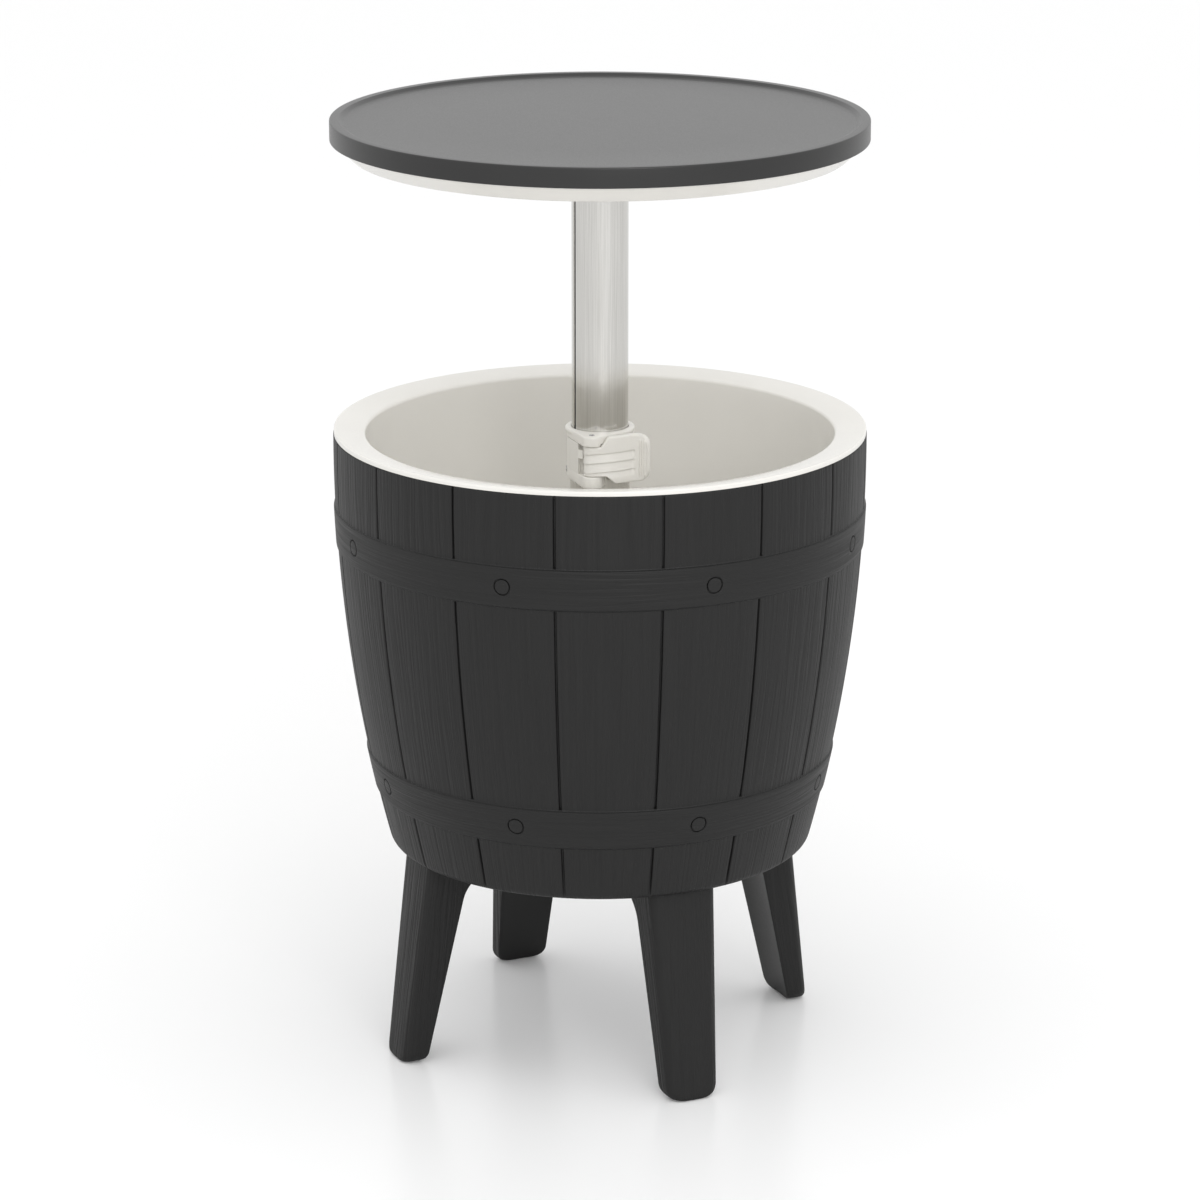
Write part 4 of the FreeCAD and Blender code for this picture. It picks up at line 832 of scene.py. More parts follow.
    def build(self) -> None:
        """Makes the shell, with the drain's hole cut into its floor."""
        hole = cylinder(self.drain_radius, -4.0, 8.0, 48)
        show("barrel_shell", [self.surface()], Finish.SHELL, Body.BARREL, ("outer_shell",), 58,
             [hole.placed(0, (0, self.drain_offset, self.base))])


@dataclass
class Tank:
    """White inner tank with its broad rim, turned round the upright axis."""

    barrel: BarrelShell
    inset: float = 27.0
    floor: float = 201.4
    wall: float = 3.0
    corner: float = 20.0
    rim_radius: float = 222.3
    rim_top: float = 536.6
    rim_fall: float = 4.5
    rim_spigot: float = 7.8
    bead: float = 2.6
    spout_offset: float = 112.0
    spout_radius: float = 12.0
    spout_wall: float = 3.0
    boss_radius: float = 6.5
    boss_offset: float = 39.0

    def profile(self) -> Grid:
        """Section from the middle of the tank's floor, up its wall, over the rim and back."""
        radius, top, floor, joint = self.barrel.radius, self.rim_top, self.floor, self.barrel.top
        low, high, bottom = floor + 35, top - 20, floor - self.wall
        outset = self.inset - self.wall
        inside = rounded(
            [(0, floor), (radius(floor, self.inset), floor), (radius(low, self.inset), low)],
            [0, self.corner, 0], False, 10)[:-1]
        up, down = np.linspace(low, high, 12), np.linspace(high, low, 10)
        rim = rounded(
            [(radius(high, self.inset), high), (radius(top - 7.0, self.inset), top - self.rim_fall),
             (self.rim_radius, top), (self.rim_radius, joint), (radius(joint, 3.3), joint)],
            [0, self.bead, 1.2, 0.3, 0], False, 6)[1:]
        spigot = [(rim[-1, 0] - inwards, top - self.rim_spigot) for inwards in (0, 20)]
        back = np.stack([radius(down, outset), down], axis=1)
        below = rounded([back[-1], (radius(bottom, outset), bottom), (0, bottom)],
                        [0, self.corner + self.wall, 0], False, 6)[1:]
        return np.concatenate([inside, np.stack([radius(up, self.inset), up], axis=1), rim, spigot,
                               back, below])

    def build(self) -> None:
        """Makes the tank with its drain hole, the spout and the bosses under its floor."""
        place = (0, self.spout_offset, 0)
        bore = cylinder(self.spout_radius, self.floor - 15, self.floor + 7, 64).placed(0, place)
        show("tank_liner_shell", [turned(self.profile(), 192)], Finish.WHITE, Body.BARREL,
             ("tank_liner",), 40, [bore])
        low, joint, radius = self.floor - 14, self.floor - 2, self.boss_radius
        pipe = hoop(self.spout_radius, self.spout_radius + self.spout_wall, self.barrel.base,
                    joint, 64)
        boss = lathe([(0, low), (radius, low), (radius, joint), (0, joint)], [0, 0.8, 0, 0], 5, 32)
        bosses = [boss.placed(0, around(-self.boss_offset, -90 * k)) for k in range(4)]
        show("tank_spout", [pipe.placed(0, place), *bosses], Finish.WHITE, Body.BARREL)


@dataclass
class Leg:
    """One splayed leg: a slab that thickens upwards and curves inwards under the barrel.

    Half the width at height z runs straight from the foot to the top, less the foot's corner
    round below. Above flare_start the inner face follows a quarter circle of radius flare, which
    ends level and makes the ledge that the two screws hold.
    """

    name: str
    turn: float
    tall: float = 177.4
    foot_radius: float = 192.3
    top_radius: float = 170.7
    foot_thick: float = 19.4
    top_thick: float = 36.3
    foot_half: float = 22.9
    top_half: float = 29.9
    foot_round: float = 11.0
    sole: float = 3.8
    edge: float = 8.5
    inner_edge: float = 0.9
    foot_edge: float = 6.9
    flare: float = 22.7
    flare_start: float = 145.0
    ledge_edge: float = 0.9
    screw_radius: float = 124.0
    screw_turn: float = 6.5
    screw_seat: float = 171.4
    well_radius: float = 6.2
    grain_step: Numbers = (0.01, 0.007)

    def half_width(self, z: Grid) -> Grid:
        """Half the leg's width at height z."""
        straight = self.foot_half + (self.top_half - self.foot_half) * z / self.tall
        low = np.clip(self.foot_round - z, 0, self.foot_round)
        return straight - self.foot_round + np.sqrt(self.foot_round**2 - low**2)

    def levels(self) -> tuple[Grid, Grid]:
        """Heights of the sections, and how far the inner face has curved inwards at each."""
        sole = self.sole * (1 - np.cos(np.linspace(0, np.pi / 2, 5)))
        plain = np.concatenate([sole, [4.6, 5.6, 7, 9, 11], np.linspace(18, 138, 12)])
        arc = np.linspace(0, np.pi / 2, 14)
        lip = np.linspace(0, np.pi / 2, 4)
        ledge = self.flare_start + self.flare
        z = np.concatenate([plain, self.flare_start + self.flare * np.sin(arc),
                            ledge + self.ledge_edge * (1 - np.cos(lip[1:])), [self.tall]])
        inwards = np.concatenate([
            np.zeros_like(plain), self.flare * (1 - np.cos(arc)),
            self.flare + self.ledge_edge * np.sin(lip[1:]), [self.flare + self.ledge_edge]])
        return z, inwards

    def surface(self) -> Surface:
        """Rounded cross-sections stacked up the leg.

        A section point (s, d) lies s to the side and d behind the outer face, with the far side
        at the thickness, which grows in a straight line upwards and by the flare. The point's
        radius is the face's radius at that height less d, and it lies at
        (s, -sqrt(radius^2 - s^2)). Within the sole's radius of the floor every section shrinks
        by sole - sqrt(sole^2 - (sole - z)^2), and within the foot's round its corners pass over
        to foot_edge by 1 - sqrt(1 - (1 - z / foot_round)^2).
        """
        z, inwards = self.levels()
        low = np.clip(self.sole - z, 0, self.sole)
        shrink = (self.sole - np.sqrt(self.sole**2 - low**2))[:, None]
        foot = np.clip(1 - z / self.foot_round, 0, 1)
        ball = (1 - np.sqrt(1 - foot**2))[:, None]
        edge = self.edge + (self.foot_edge - self.edge) * ball
        inner = self.inner_edge + (self.foot_edge - self.inner_edge) * ball
        side, arc = np.linspace(-1, 1, 15), np.linspace(0, np.pi / 2, 8)
        sine, cosine = np.sin(arc), np.cos(arc)
        # share of the half width, outer edge sideways and back, inner edge likewise, far side
        round_way = [
            (side, 0, 0, 0, 0, 0),
            (1, sine[1:], 1 - cosine[1:], 0, 0, 0),
            (1, 0, 0, cosine, sine - 1, 1),
            (side[-2:0:-1], 0, 0, 0, 0, 1),
            (-1, 0, 0, -sine, cosine - 1, 1),
            (-1, -cosine[:-1], 1 - sine[:-1], 0, 0, 0),
        ]
        share, outer_side, outer_near, inner_side, inner_near, back = np.concatenate(
            [np.stack(np.broadcast_arrays(*part)) for part in round_way], axis=1)
        rise = (z / self.tall)[:, None]
        thick = self.foot_thick + (self.top_thick - self.foot_thick) * rise + inwards[:, None]
        depth = outer_near * edge + inner_near * inner + back * thick
        half = self.half_width(z)[:, None] - shrink
        s = share * (half - np.where(back > 0, inner, edge))
        s = s + (outer_side * edge + inner_side * inner)
        middle = thick / 2
        d = middle + (depth - middle) * (1 - shrink / middle)
        face = self.foot_radius + (self.top_radius - self.foot_radius) * rise
        y, z = -np.sqrt((face - d) ** 2 - s**2), z[:, None] + 0 * s
        ends = np.zeros((2, 1, s.shape[1], 3))
        ends[:, 0, :, 1] = (middle - face)[[0, -1]]
        ends[1, 0, :, 2] = self.tall
        points = np.concatenate([ends[0], np.stack([s, y, z], axis=-1), ends[1]])
        way = np.pad(np.stack([s + d, z], axis=-1), ((1, 1), (0, 0), (0, 0)), mode="edge")
        return grid_surface(points, uv=way * MM + self.turn * np.array(self.grain_step))

    def build(self) -> None:
        """Makes the leg: grain on its outer and side faces, none on its inner face, and two
        round wells that let the screws' heads up into the ledge."""
        well = cylinder(self.well_radius, self.flare_start + 5, self.screw_seat, 40)
        wells = [well.placed(0, around(self.screw_radius, self.turn + side))
                 for side in (-self.screw_turn, self.screw_turn)]
        piece = show(self.name + "_slab", [self.surface().placed(self.turn)], Finish.LEG,
                     Body.BARREL, (self.name,), 50, wells)
        out_x, out_y, _ = around(1, self.turn)
        finish_faces(piece, Finish.LEG_INSIDE, "normal",
                     lambda x, y, z: x * out_x + y * out_y < -0.6)


# ---- column and clamp -----------------------------------------------------------------------


@dataclass
class Column:
    """Lower tube, mast with its key groove, glide and floor socket."""

    mast_radius: float = 23.6
    mast_wall: float = 1.5
    mast_foot: float = 441.4
    mast_top: float = 768.9
    key_turn: float = -42.4
    key_depth: float = 0.9
    # half width of the painted shade: black on the key groove's floor
    painted_shade_half: float = 1.55
    tube_bore: float = 23.95
    tube_radius: float = 25.05
    tube_foot: float = 203.4
    tube_top: float = 530.9

    def mast(self) -> Surface:
        """A tube whose radius falls by the key's depth between two lines on its outside."""
        lines = disc_offsets([0, 0.9, 1.6, 1.8, 1.9, 2.1, 3.2])
        groove = np.degrees(lines / self.mast_radius)
        turn = np.concatenate([groove, np.linspace(groove[-1], 360 + groove[0], 122)[1:-1]])
        beside = np.where(turn > 180, turn - 360, turn) * self.mast_radius * np.pi / 180
        sunk = np.interp(np.abs(beside), [1.6, 1.8, 1.9, 2.1], [1, 0.9, 0.1, 0])
        low, high, edge = self.mast_foot, self.mast_top, 0.4
        height = np.array([low, *np.linspace(low + edge, high - edge, 24), high, high, low])
        radius = np.full((len(height), 1), self.mast_radius)
        radius[[0, -3]] -= edge
        radius[-2:] -= self.mast_wall
        outside = np.append(np.ones(len(height) - 2), (0, 0))[:, None]
        reach = radius - outside * sunk * self.key_depth
        return grid_surface(cylindrical(reach, np.radians(turn + self.key_turn),
                                        height[:, None]), close_rows=True)

    def in_groove(self, x: Grid, y: Grid, _z: Grid) -> Grid:
        """Whether places in metres lie on the floor of the key's groove, at any height."""
        side, front, _ = around(1 / MM, self.key_turn)
        forward, beside = x * side + y * front, y * side - x * front
        return (np.abs(beside) < self.painted_shade_half) & (forward > self.mast_radius - 1.2)

    def build(self) -> None:
        """Makes both tubes, with the key groove's floor painted black as painted shade, and dresses
        socket and glide.
        """
        piece = show("mast_column", [self.mast()], Finish.TUBE, Body.MAST, ("mast_tube",), 30)
        # The groove's floor takes the black rubber finish: painted shade that darkens the key
        # groove.
        finish_faces(piece, Finish.RUBBER, "center", self.in_groove)
        tube = hoop(self.tube_bore, self.tube_radius, self.tube_foot, self.tube_top, 128,
                    (0.2, 0.3), 2)
        show("lower_column", [tube], Finish.TUBE, Body.BARREL, ("lower_tube",), 30)
        dress(soft_copy("column_socket", "floor_socket", 0.5), Finish.WHITE, Body.BARREL,
              ("column_socket",))
        paint_node("mast_glide", Finish.PLAIN)


@dataclass
class Clamp:
    """Flip lock on top of the lower tube. Its own front points along turn."""

    turn: float = 9.6
    middle: float = 512.9
    collar_radius: float = 27.6
    collar_half: float = 22.5
    lip_tall: float = 4.0
    cap: float = 4.5
    tube_bore: float = 25.2
    mast_bore: float = 23.95
    pin_reach: float = 35.6
    pin_radius: float = 2.5
    nose_radius: float = 8.5
    slot_half: float = 13.0
    slot_lift: float = 0.9
    slot_face: float = 28.2
    slot_turn: float = 20.5
    tab_turn: float = 13.4
    tab: Numbers = (514.3, 521.7)
    lug_side: float = 9.0
    notch_side: float = 8.0
    seam: float = 0.45
    seam_start: float = 15.6
    relief: float = 30.6
    ring_end: float = 76.0
    knuckle_radius: float = 7.0
    knuckle_shift: float = 0.4
    lever_curve: float = 42.0
    lever_centre: Numbers = (-1.2, 0.0)
    lever_thick: float = 5.5
    lever_bend: float = 30.0
    lever_flare: float = 13.1
    lever_end: float = 46.5
    lever_corner: float = 11.0
    edges: Numbers = (-11.8, 13.6, -18.3, 22.5)
    upper_neck: Numbers = (8.8, 15.6)
    lower_neck: Numbers = (13.4, 20.5)
    boards: Numbers = (-9.3, -1.2, 6.6)
    board_climb: float = 3.0
    board_depth: float = 1.8
    board_tall: float = 6.0
    board_end: Numbers = (33.0, 35.0)
    board_middle: float = 15.0
    lever_edge: float = 1.5
    ridges: Numbers = (2.4, 4.55, 6.7, 8.85)
    ridge_depth: float = 0.9
    ridge_width: float = 0.5
    ridge_span: Numbers = (-14.5, -12.5, 16.5, 18.5)

    def outline(self, angle: Grid) -> Grid:
        """Reach of the collar's plan at an angle from its nose.

        The nose is a circle of radius n round a point p from the middle: reach
        p cos a + sqrt(n^2 - (p sin a)^2). A straight line touches it and the collar's circle of
        radius c: its reach is c / cos(|a| - b), with cos b = (c - n) / p.
        """
        lean = math.acos((self.collar_radius - self.nose_radius) / self.pin_reach)
        line = self.collar_radius / np.cos(np.clip(np.abs(angle) - lean, -1.2, 0))
        touch = math.atan2(self.nose_radius * math.sin(lean),
                           self.pin_reach + self.nose_radius * math.cos(lean))
        under = np.maximum(self.nose_radius**2 - (self.pin_reach * np.sin(angle)) ** 2, 0)
        nose = self.pin_reach * np.cos(angle) + np.sqrt(under)
        return np.where(np.abs(angle) < touch, nose, line)

    def slot_outline(self, angle: Grid, tab: bool) -> Grid:
        """Reach of the collar's plan where the lever's slot cuts through its nose."""
        full = self.outline(angle)
        face = self.slot_face / np.cos(np.clip(angle, -1.2, 1.2))
        left = angle < -math.radians(self.slot_turn) - 1e-9
        reach = np.where(left, full, np.minimum(full, face))
        if tab:
            inside = (angle < -math.radians(self.tab_turn) - 1e-9) & ~left
            reach = np.where(inside, np.minimum(full, 34.6), reach)
        return np.where(np.abs(angle) > 1.2, full, reach)

    def upper_outline(self, angle: Grid, height: float) -> Grid:
        """Reach of the collar's plan above the slot, set back on the lever's side.

        To the right of the nose the reach is held to the farther of two lines, one beside the
        middle and relief in front of it, with a soft corner between it and the plan. The line
        beside the middle is notch_side away, and from seam_start up it follows the lever's
        shoulder at the seam's width.
        """
        full = self.outline(angle)
        open_angle = np.clip(angle, 0.05, 1.2)
        shoulder = float(np.interp(height - self.middle, self.edges[1::2], self.upper_neck))
        lean = height > self.middle + self.seam_start
        beside = max(self.lug_side, shoulder - self.seam) if lean else self.notch_side
        limit = np.maximum(beside / np.sin(open_angle), self.relief / np.cos(open_angle))
        limit = np.where((angle > 0.02) & (angle < 1.2), limit, 1e3)
        return (full**-30.0 + limit**-30.0) ** (-1 / 30)

    def angles(self) -> Grid:
        """Angles of the grid lines round the collar, close together at its corners."""
        nose = np.concatenate([np.linspace(-19, 11, 31), np.linspace(11.5, 26, 30)])
        wall = [-self.slot_turn - 0.02, -self.slot_turn + 0.02, -self.tab_turn - 0.02,
                -self.tab_turn + 0.02]
        rest = np.concatenate([np.linspace(-180, -22, 76)[1:], np.linspace(28, 180, 74)])
        return np.radians(np.unique(np.round(np.concatenate([nose, wall, rest]), 3)))

    def collar(self) -> Surface:
        """The collar above its lower lug, as one grid of reach over angle and height.

        Each row takes one of the plans, less an inset that rounds the edges, and the rows under
        the lip keep at least the lip's radius.
        """
        angle = self.angles()
        slot, tab = self.slot_outline(angle, False), self.slot_outline(angle, True)
        low = self.middle + self.slot_lift - self.slot_half
        high = self.middle + self.slot_lift + self.slot_half
        top = self.middle + self.collar_half
        lip = top - self.lip_tall
        tab_low, tab_high = self.tab
        wall = [(low, slot), (tab_low - 0.02, slot), (tab_low, tab), (tab_high, tab),
                (tab_high + 0.02, slot), (high, slot)]
        rows = [(z, plan, 0, 0) for z, plan in wall]
        lug = [
            (high, 0.9, 0), (high + 0.12, 0.5, 0), (high + 0.45, 0.16, 0), (high + 1.0, 0, 0),
            (self.middle + self.seam_start, 0, 0), (self.middle + self.seam_start + 0.4, 0, 0),
            (lip, 0, 0), (lip + 0.35, 0, 28.6), (lip + 0.9, 0, 29.0), (lip + 1.4, 0, 29.1),
            (lip + 2.6, 0, 29.1), (top - 0.75, 0.15, 28.9), (top - 0.25, 0.55, 28.45),
            (top, 1.2, 27.8),
        ]
        rows += [(z, self.upper_outline(angle, z), inset, least) for z, inset, least in lug]
        height = np.array([row[0] for row in rows])
        reach = np.stack([np.maximum(row[1] - row[2], row[3]) for row in rows])
        cap = top - self.cap
        bore = [(top, self.mast_bore + 0.5), (top - 0.5, self.mast_bore), (cap, self.mast_bore),
                (cap, self.tube_bore), (low, self.tube_bore)]
        height = np.concatenate([height, [row[0] for row in bore]])
        inner = np.array([row[1] for row in bore])[:, None] + 0 * angle
        reach = np.concatenate([reach, inner])
        return self.spread(reach, angle, height, True)

    def spread(self, reach: Grid, angle: Grid, height: Grid, closed: bool) -> Surface:
        """Turns reaches at angles and heights into a closed grid about the upright axis."""
        points = cylindrical(reach, angle, height[:, None])
        if not closed:
            ends = np.broadcast_to(points.mean(axis=0, keepdims=True), points.shape)
            points = np.concatenate([ends[:, :1], points, ends[:, -1:]], axis=1)
        return grid_surface(points, close_rows=True, close_columns=closed)

    def lower_lug(self) -> Surface:
        """The open ring under the slot, from its free end beside the nose round to the back."""
        start = math.asin(self.lug_side / self.tube_bore) - 0.012
        turn = np.concatenate([
            np.linspace(math.radians(self.ring_end) - 2 * np.pi, -0.4, 96),
            np.linspace(-0.38, start, 44)])
        full = self.outline(turn)
        side = self.lug_side / np.sin(np.clip(turn, 0.05, 1.2))
        soft = (full**-24.0 + np.where(turn > 0.02, side, 1e3) ** -24.0) ** (-1 / 24)
        low = self.middle - self.collar_half
        high = self.middle + self.slot_lift - self.slot_half
        arc = np.linspace(0, np.pi / 2, 6)
        under, over = 2.6, 0.7
        inset = np.concatenate([under * (1 - np.sin(arc)), over * (1 - np.cos(arc[1:]))])
        height = np.concatenate([low + under * (1 - np.cos(arc)),
                                 high - over * (1 - np.sin(arc[1:]))])
        reach = np.maximum(soft[None, :] - inset[:, None], self.tube_bore + 0.3)
        inner = np.full((2, len(turn)), self.tube_bore)
        reach = np.concatenate([reach, inner])
        height = np.concatenate([height, [high, low]])
        return self.spread(reach, turn, height, False)

    def climb(self, x: Grid | float) -> Grid:
        """How far the boards' lines rise by x: steeply at the knuckle, and less and less."""
        return self.board_climb * (1 - np.exp(-np.clip(x + 5.0, 0, 60) / 17.0))

    def board_sink(self, x: Grid, z: Grid) -> Grid:
        """How far the lever's face lies under its arc at a place on it.

        Above each line a lapped board starts at the full height, and its face sinks in a
        straight line up to the next line. The boards fade at their right ends.
        """
        place = z - self.climb(x)
        share = 0 * place
        for low, high in zip((self.boards[0] - self.board_tall, *self.boards), self.boards):
            share = np.where((place >= low) & (place < high), (place - low) / (high - low), share)
        return self.board_depth * share * (1 - smooth_step(x, *self.board_end))

    def plan(self) -> tuple[Grid, Grid, Grid]:
        """Outer and inner points of the lever's plan, station by station.

        Both paths start at the knuckle's left, pass round it, follow two arcs about one centre
        that hug the collar, and turn outwards on two arcs about a centre in front of them. The
        last stations close in on the mean path, so that the end is round.

        Returns:
            Outer points, inner points, and the way left along the outer face to the end.
        """
        knuckle = np.array([0.0, self.knuckle_shift - self.pin_reach])
        centre = np.asarray(self.lever_centre)
        radius, half = self.lever_curve, self.lever_thick / 2
        sweep = np.radians(np.linspace(4, 86, 12))
        left = self.knuckle_radius * np.stack([-np.cos(sweep), -np.sin(sweep)], 1)
        back = np.radians(np.linspace(88, 3, 10))
        right_in = knuckle + self.knuckle_radius * np.stack([np.cos(back), np.sin(back)], 1)
        turn = np.radians(np.linspace(1.6, 9.9, 10))
        right_out = centre + radius * np.stack([np.sin(turn), -np.cos(turn)], 1)
        right_out[:, 1] -= 0.2 * (1 - smooth_step(right_out[:, 0], 0.0, 5.0))
        bend = math.asin((self.lever_bend - centre[0]) / radius)
        arm = np.linspace(math.radians(10.9), bend - 0.01, 30)
        unit = np.stack([np.sin(arm), -np.cos(arm)], 1)
        arm_out, arm_in = centre + unit * radius, centre + unit * (radius - 2 * half)
        pivot = centre + (radius + self.lever_flare) * np.array([math.sin(bend), -math.cos(bend)])
        mean = self.lever_flare + half
        last = -math.asin((self.lever_end - pivot[0]) / mean)
        whole = np.linspace(bend, last + half / mean, 42)
        cap = np.radians([20, 40, 58, 72, 82, 88.5])
        swing = np.concatenate([whole, last + half / mean * (1 - np.sin(cap))])
        spread = np.concatenate([np.full(len(whole), half), half * np.cos(cap)])[:, None]
        unit = np.stack([-np.sin(swing), np.cos(swing)], 1)
        outer = np.concatenate([knuckle + left, right_out, arm_out,
                                pivot + unit * (mean - spread)])
        inner = np.concatenate([knuckle + left * (1, -1), right_in, arm_in,
                                pivot + unit * (mean + spread)])
        step = np.linalg.norm(np.diff(outer, axis=0), axis=1)
        rest = np.append(np.cumsum(step[::-1])[::-1], 0.0)
        return outer, inner, rest

    def lever_edges(self, x: Grid) -> tuple[Grid, Grid]:
        """Lower and upper edge of the lever over the collar's middle, at x.

        The neck is as tall as the slot allows. The free end is the quarter of a superellipse of
        power 2.6 on each side, which bows the end and rounds its corners.
        """
        low_neck, high_neck, low, high = self.edges
        upper = np.interp(x, self.upper_neck, [high_neck, high])
        lower = np.interp(x, self.lower_neck, [low_neck, low])
        past = np.clip((x - self.lever_end + self.lever_corner) / self.lever_corner, 0, 0.9985)
        keep = (1 - past**2.6) ** (1 / 2.6)
        middle = (high + low) / 2
        return middle + (lower - middle) * keep, middle + (upper - middle) * keep

    def lever(self) -> Surface:
        """The lever as rounded cross-sections along its plan.

        Each section spans the outer and the inner path. Its outer face carries the lapped
        boards and the finger ridges, and its free edges are arcs.
        """
        outer, inner, rest = self.plan()
        thick = np.linalg.norm(inner - outer, axis=1)[:, None]
        inward = (inner - outer) / thick
        x = outer[:, :1]
        lower, upper = self.lever_edges(x)
        edge = np.minimum(np.minimum(self.lever_edge, thick * 0.42), (upper - lower) * 0.3)
        risen = self.climb(self.board_middle)
        steps = np.array(self.boards) + risen
        lines = [steps + gap for gap in (-0.20, -0.06, 0, 0.06, 0.35)]
        line = np.unique(np.round(np.concatenate([np.linspace(-18, 22, 41), *lines]), 3))
        shift = self.climb(x) - risen
        near = np.exp(-np.min(np.abs(line[:, None] - steps), axis=-1) ** 2 / 50.0)
        z = np.clip(line + shift * near, lower + edge, upper - edge)
        sink = self.board_sink(x, z)
        bell = np.exp(-(((rest[:, None, None] - self.ridges) / self.ridge_width) ** 2)).sum(-1)
        low, high = self.ridge_span[:2], self.ridge_span[2:]
        sink = sink - self.ridge_depth * bell * smooth_step(z, *low) * (1 - smooth_step(z, *high))
        arc = np.linspace(0, np.pi / 2, 5)
        sine, cosine = np.sin(arc), np.cos(arc)
        top_d, top_z = edge * (1 - cosine[1:]), upper - edge + edge * sine[1:]
        far_d, far_z = thick - edge * (1 - sine), upper - edge + edge * cosine
        low_z = lower + edge - edge * cosine
        back_z = upper - edge + (lower - upper + 2 * edge) * np.linspace(0, 1, 7)[1:-1]
        bottom_z = lower + edge - edge * sine[:0:-1]
        d = np.concatenate([sink, top_d, far_d, thick + 0 * back_z, far_d[:, ::-1],
                            top_d[:, ::-1]], 1)
        h = np.concatenate([z, top_z, far_z, back_z, low_z[:, ::-1], bottom_z], 1)
        plan = outer[:, None, :] + inward[:, None, :] * d[..., None]
        points = np.concatenate([plan, (h + self.middle)[..., None]], axis=-1)
        poles = points[[0, -1]].mean(1, keepdims=True) + 0 * points[[0, -1]]
        return grid_surface(np.concatenate([poles[:1], points, poles[1:]]))

    def build(self) -> None:
        """Makes the collar, the lever and the pin, and dresses the pad behind them."""
        collar = [self.collar().placed(self.turn), self.lower_lug().placed(self.turn)]
        show("flip_lock_collar", collar, Finish.CLAMP, Body.BARREL, ("clamp_collar",), 38)
        show("flip_lock_lever", [self.lever().placed(self.turn)], Finish.CLAMP, Body.LEVER,
             ("clamp_lever",), 42)
        low, high = self.middle - self.collar_half, self.middle + self.collar_half + 0.3
        pin = lathe([(0, low), (self.pin_radius, low), (self.pin_radius, high), (0, high)],
                    [0, 0.4, 0.6, 0], 3, 40)
        pin = pin.placed(0, (0, -self.pin_reach, 0)).placed(self.turn)
        show("flip_lock_pin", [pin], Finish.STEEL, Body.BARREL, ("lever_pin",), 35)
        paint_node("brake_pad", Finish.RUBBER)


# ---- lid, drain and fasteners ---------------------------------------------------------------


@dataclass
class Lid:
    """Round lid: dark top with a raised lip, white underside, and the hub on the mast."""

    base: float = 779.1
    radius: float = 222.0
    top: float = 795.7
    face: float = 793.2
    inside: float = 789.7
    plane: float = 772.9
    under_inside: float = 775.4
    seat: float = 765.7
    lip: float = 777.6
    hub_base: float = 768.9
    spigot_base: float = 736.9

    def disc(self, corners: Sequence[Numbers], radii: Numbers, rings: Numbers,
             spans: int) -> Surface:
        """A closed section turned, with two rings of points on its first flat face."""
        section = rounded(corners, radii, False, spans)
        inner = [(ring, corners[0][1]) for ring in (0, *rings)]
        return turned(np.concatenate([inner, section[1:]]), 256)

    def tabletop(self) -> Surface:
        """Section of the top: flat face, sloped inner lip, rounded rim and inner skirt."""
        return self.disc(
            [(0, self.face), (210.6, self.face), (214.4, self.top), (self.radius, self.top),
             (self.radius, self.base), (217.5, self.base), (217.5, self.inside),
             (0, self.inside)],
            [0, 4.0, 1.4, 1.2, 0.6, 0.3, 1.5, 0], (60, 140), 6)

    def underside(self) -> Surface:
        """Section of the white dish: flat middle, cone, rib, seat ring and rim lip."""
        rib, back = self.seat - 2.3, self.seat + 2.5
        return self.disc(
            [(0, self.plane), (186.35, self.plane), (188.85, rib), (193.85, rib),
             (195.0, self.seat), (204.0, self.seat), (216.9, self.lip), (218.4, self.lip),
             (218.4, self.base), (214.65, self.base), (202.5, back), (189.35, back),
             (185.85, self.under_inside), (0, self.under_inside)],
            [0, 1.6, 0.9, 0.9, 0.5, 2.4, 1.0, 0.5, 0.3, 0.5, 1, 1, 1, 0], (70, 130), 5)

    def hub(self) -> Surface:
        """Section of the hub: flange with a rounded edge and a spigot in the mast."""
        return lathe(
            [(0, self.hub_base), (18.05, self.hub_base), (18.05, self.spigot_base),
             (22.05, self.spigot_base), (22.05, self.hub_base), (44.0, self.hub_base),
             (44.0, self.plane), (0, self.plane)],
            [0, 0, 0.6, 1.3, 0, 2.0, 0.3, 0], 5, 128)

    def build(self) -> None:
        """Makes the lid's pieces, with wells for the hub's screws, and dresses its foam."""
        show("table_top", [self.tabletop()], Finish.TABLE, Body.MAST, ("tabletop",), 34)
        show("lid_dish", [self.underside()], Finish.WHITE, Body.MAST, ("lid_underside",), 34)
        well = turned(np.array([[0, -1.0], [4.6, -1.0], [4.5, 0.0], [2.1, 2.6], [0, 2.6]]), 32)
        show("mast_hub", [self.hub()], Finish.WHITE, Body.MAST, ("lid_hub",), 34,
             [well.placed(0, around(-36, -90 * k, self.hub_base)) for k in range(4)])
        paint_node("lid_foam", Finish.FOAM)


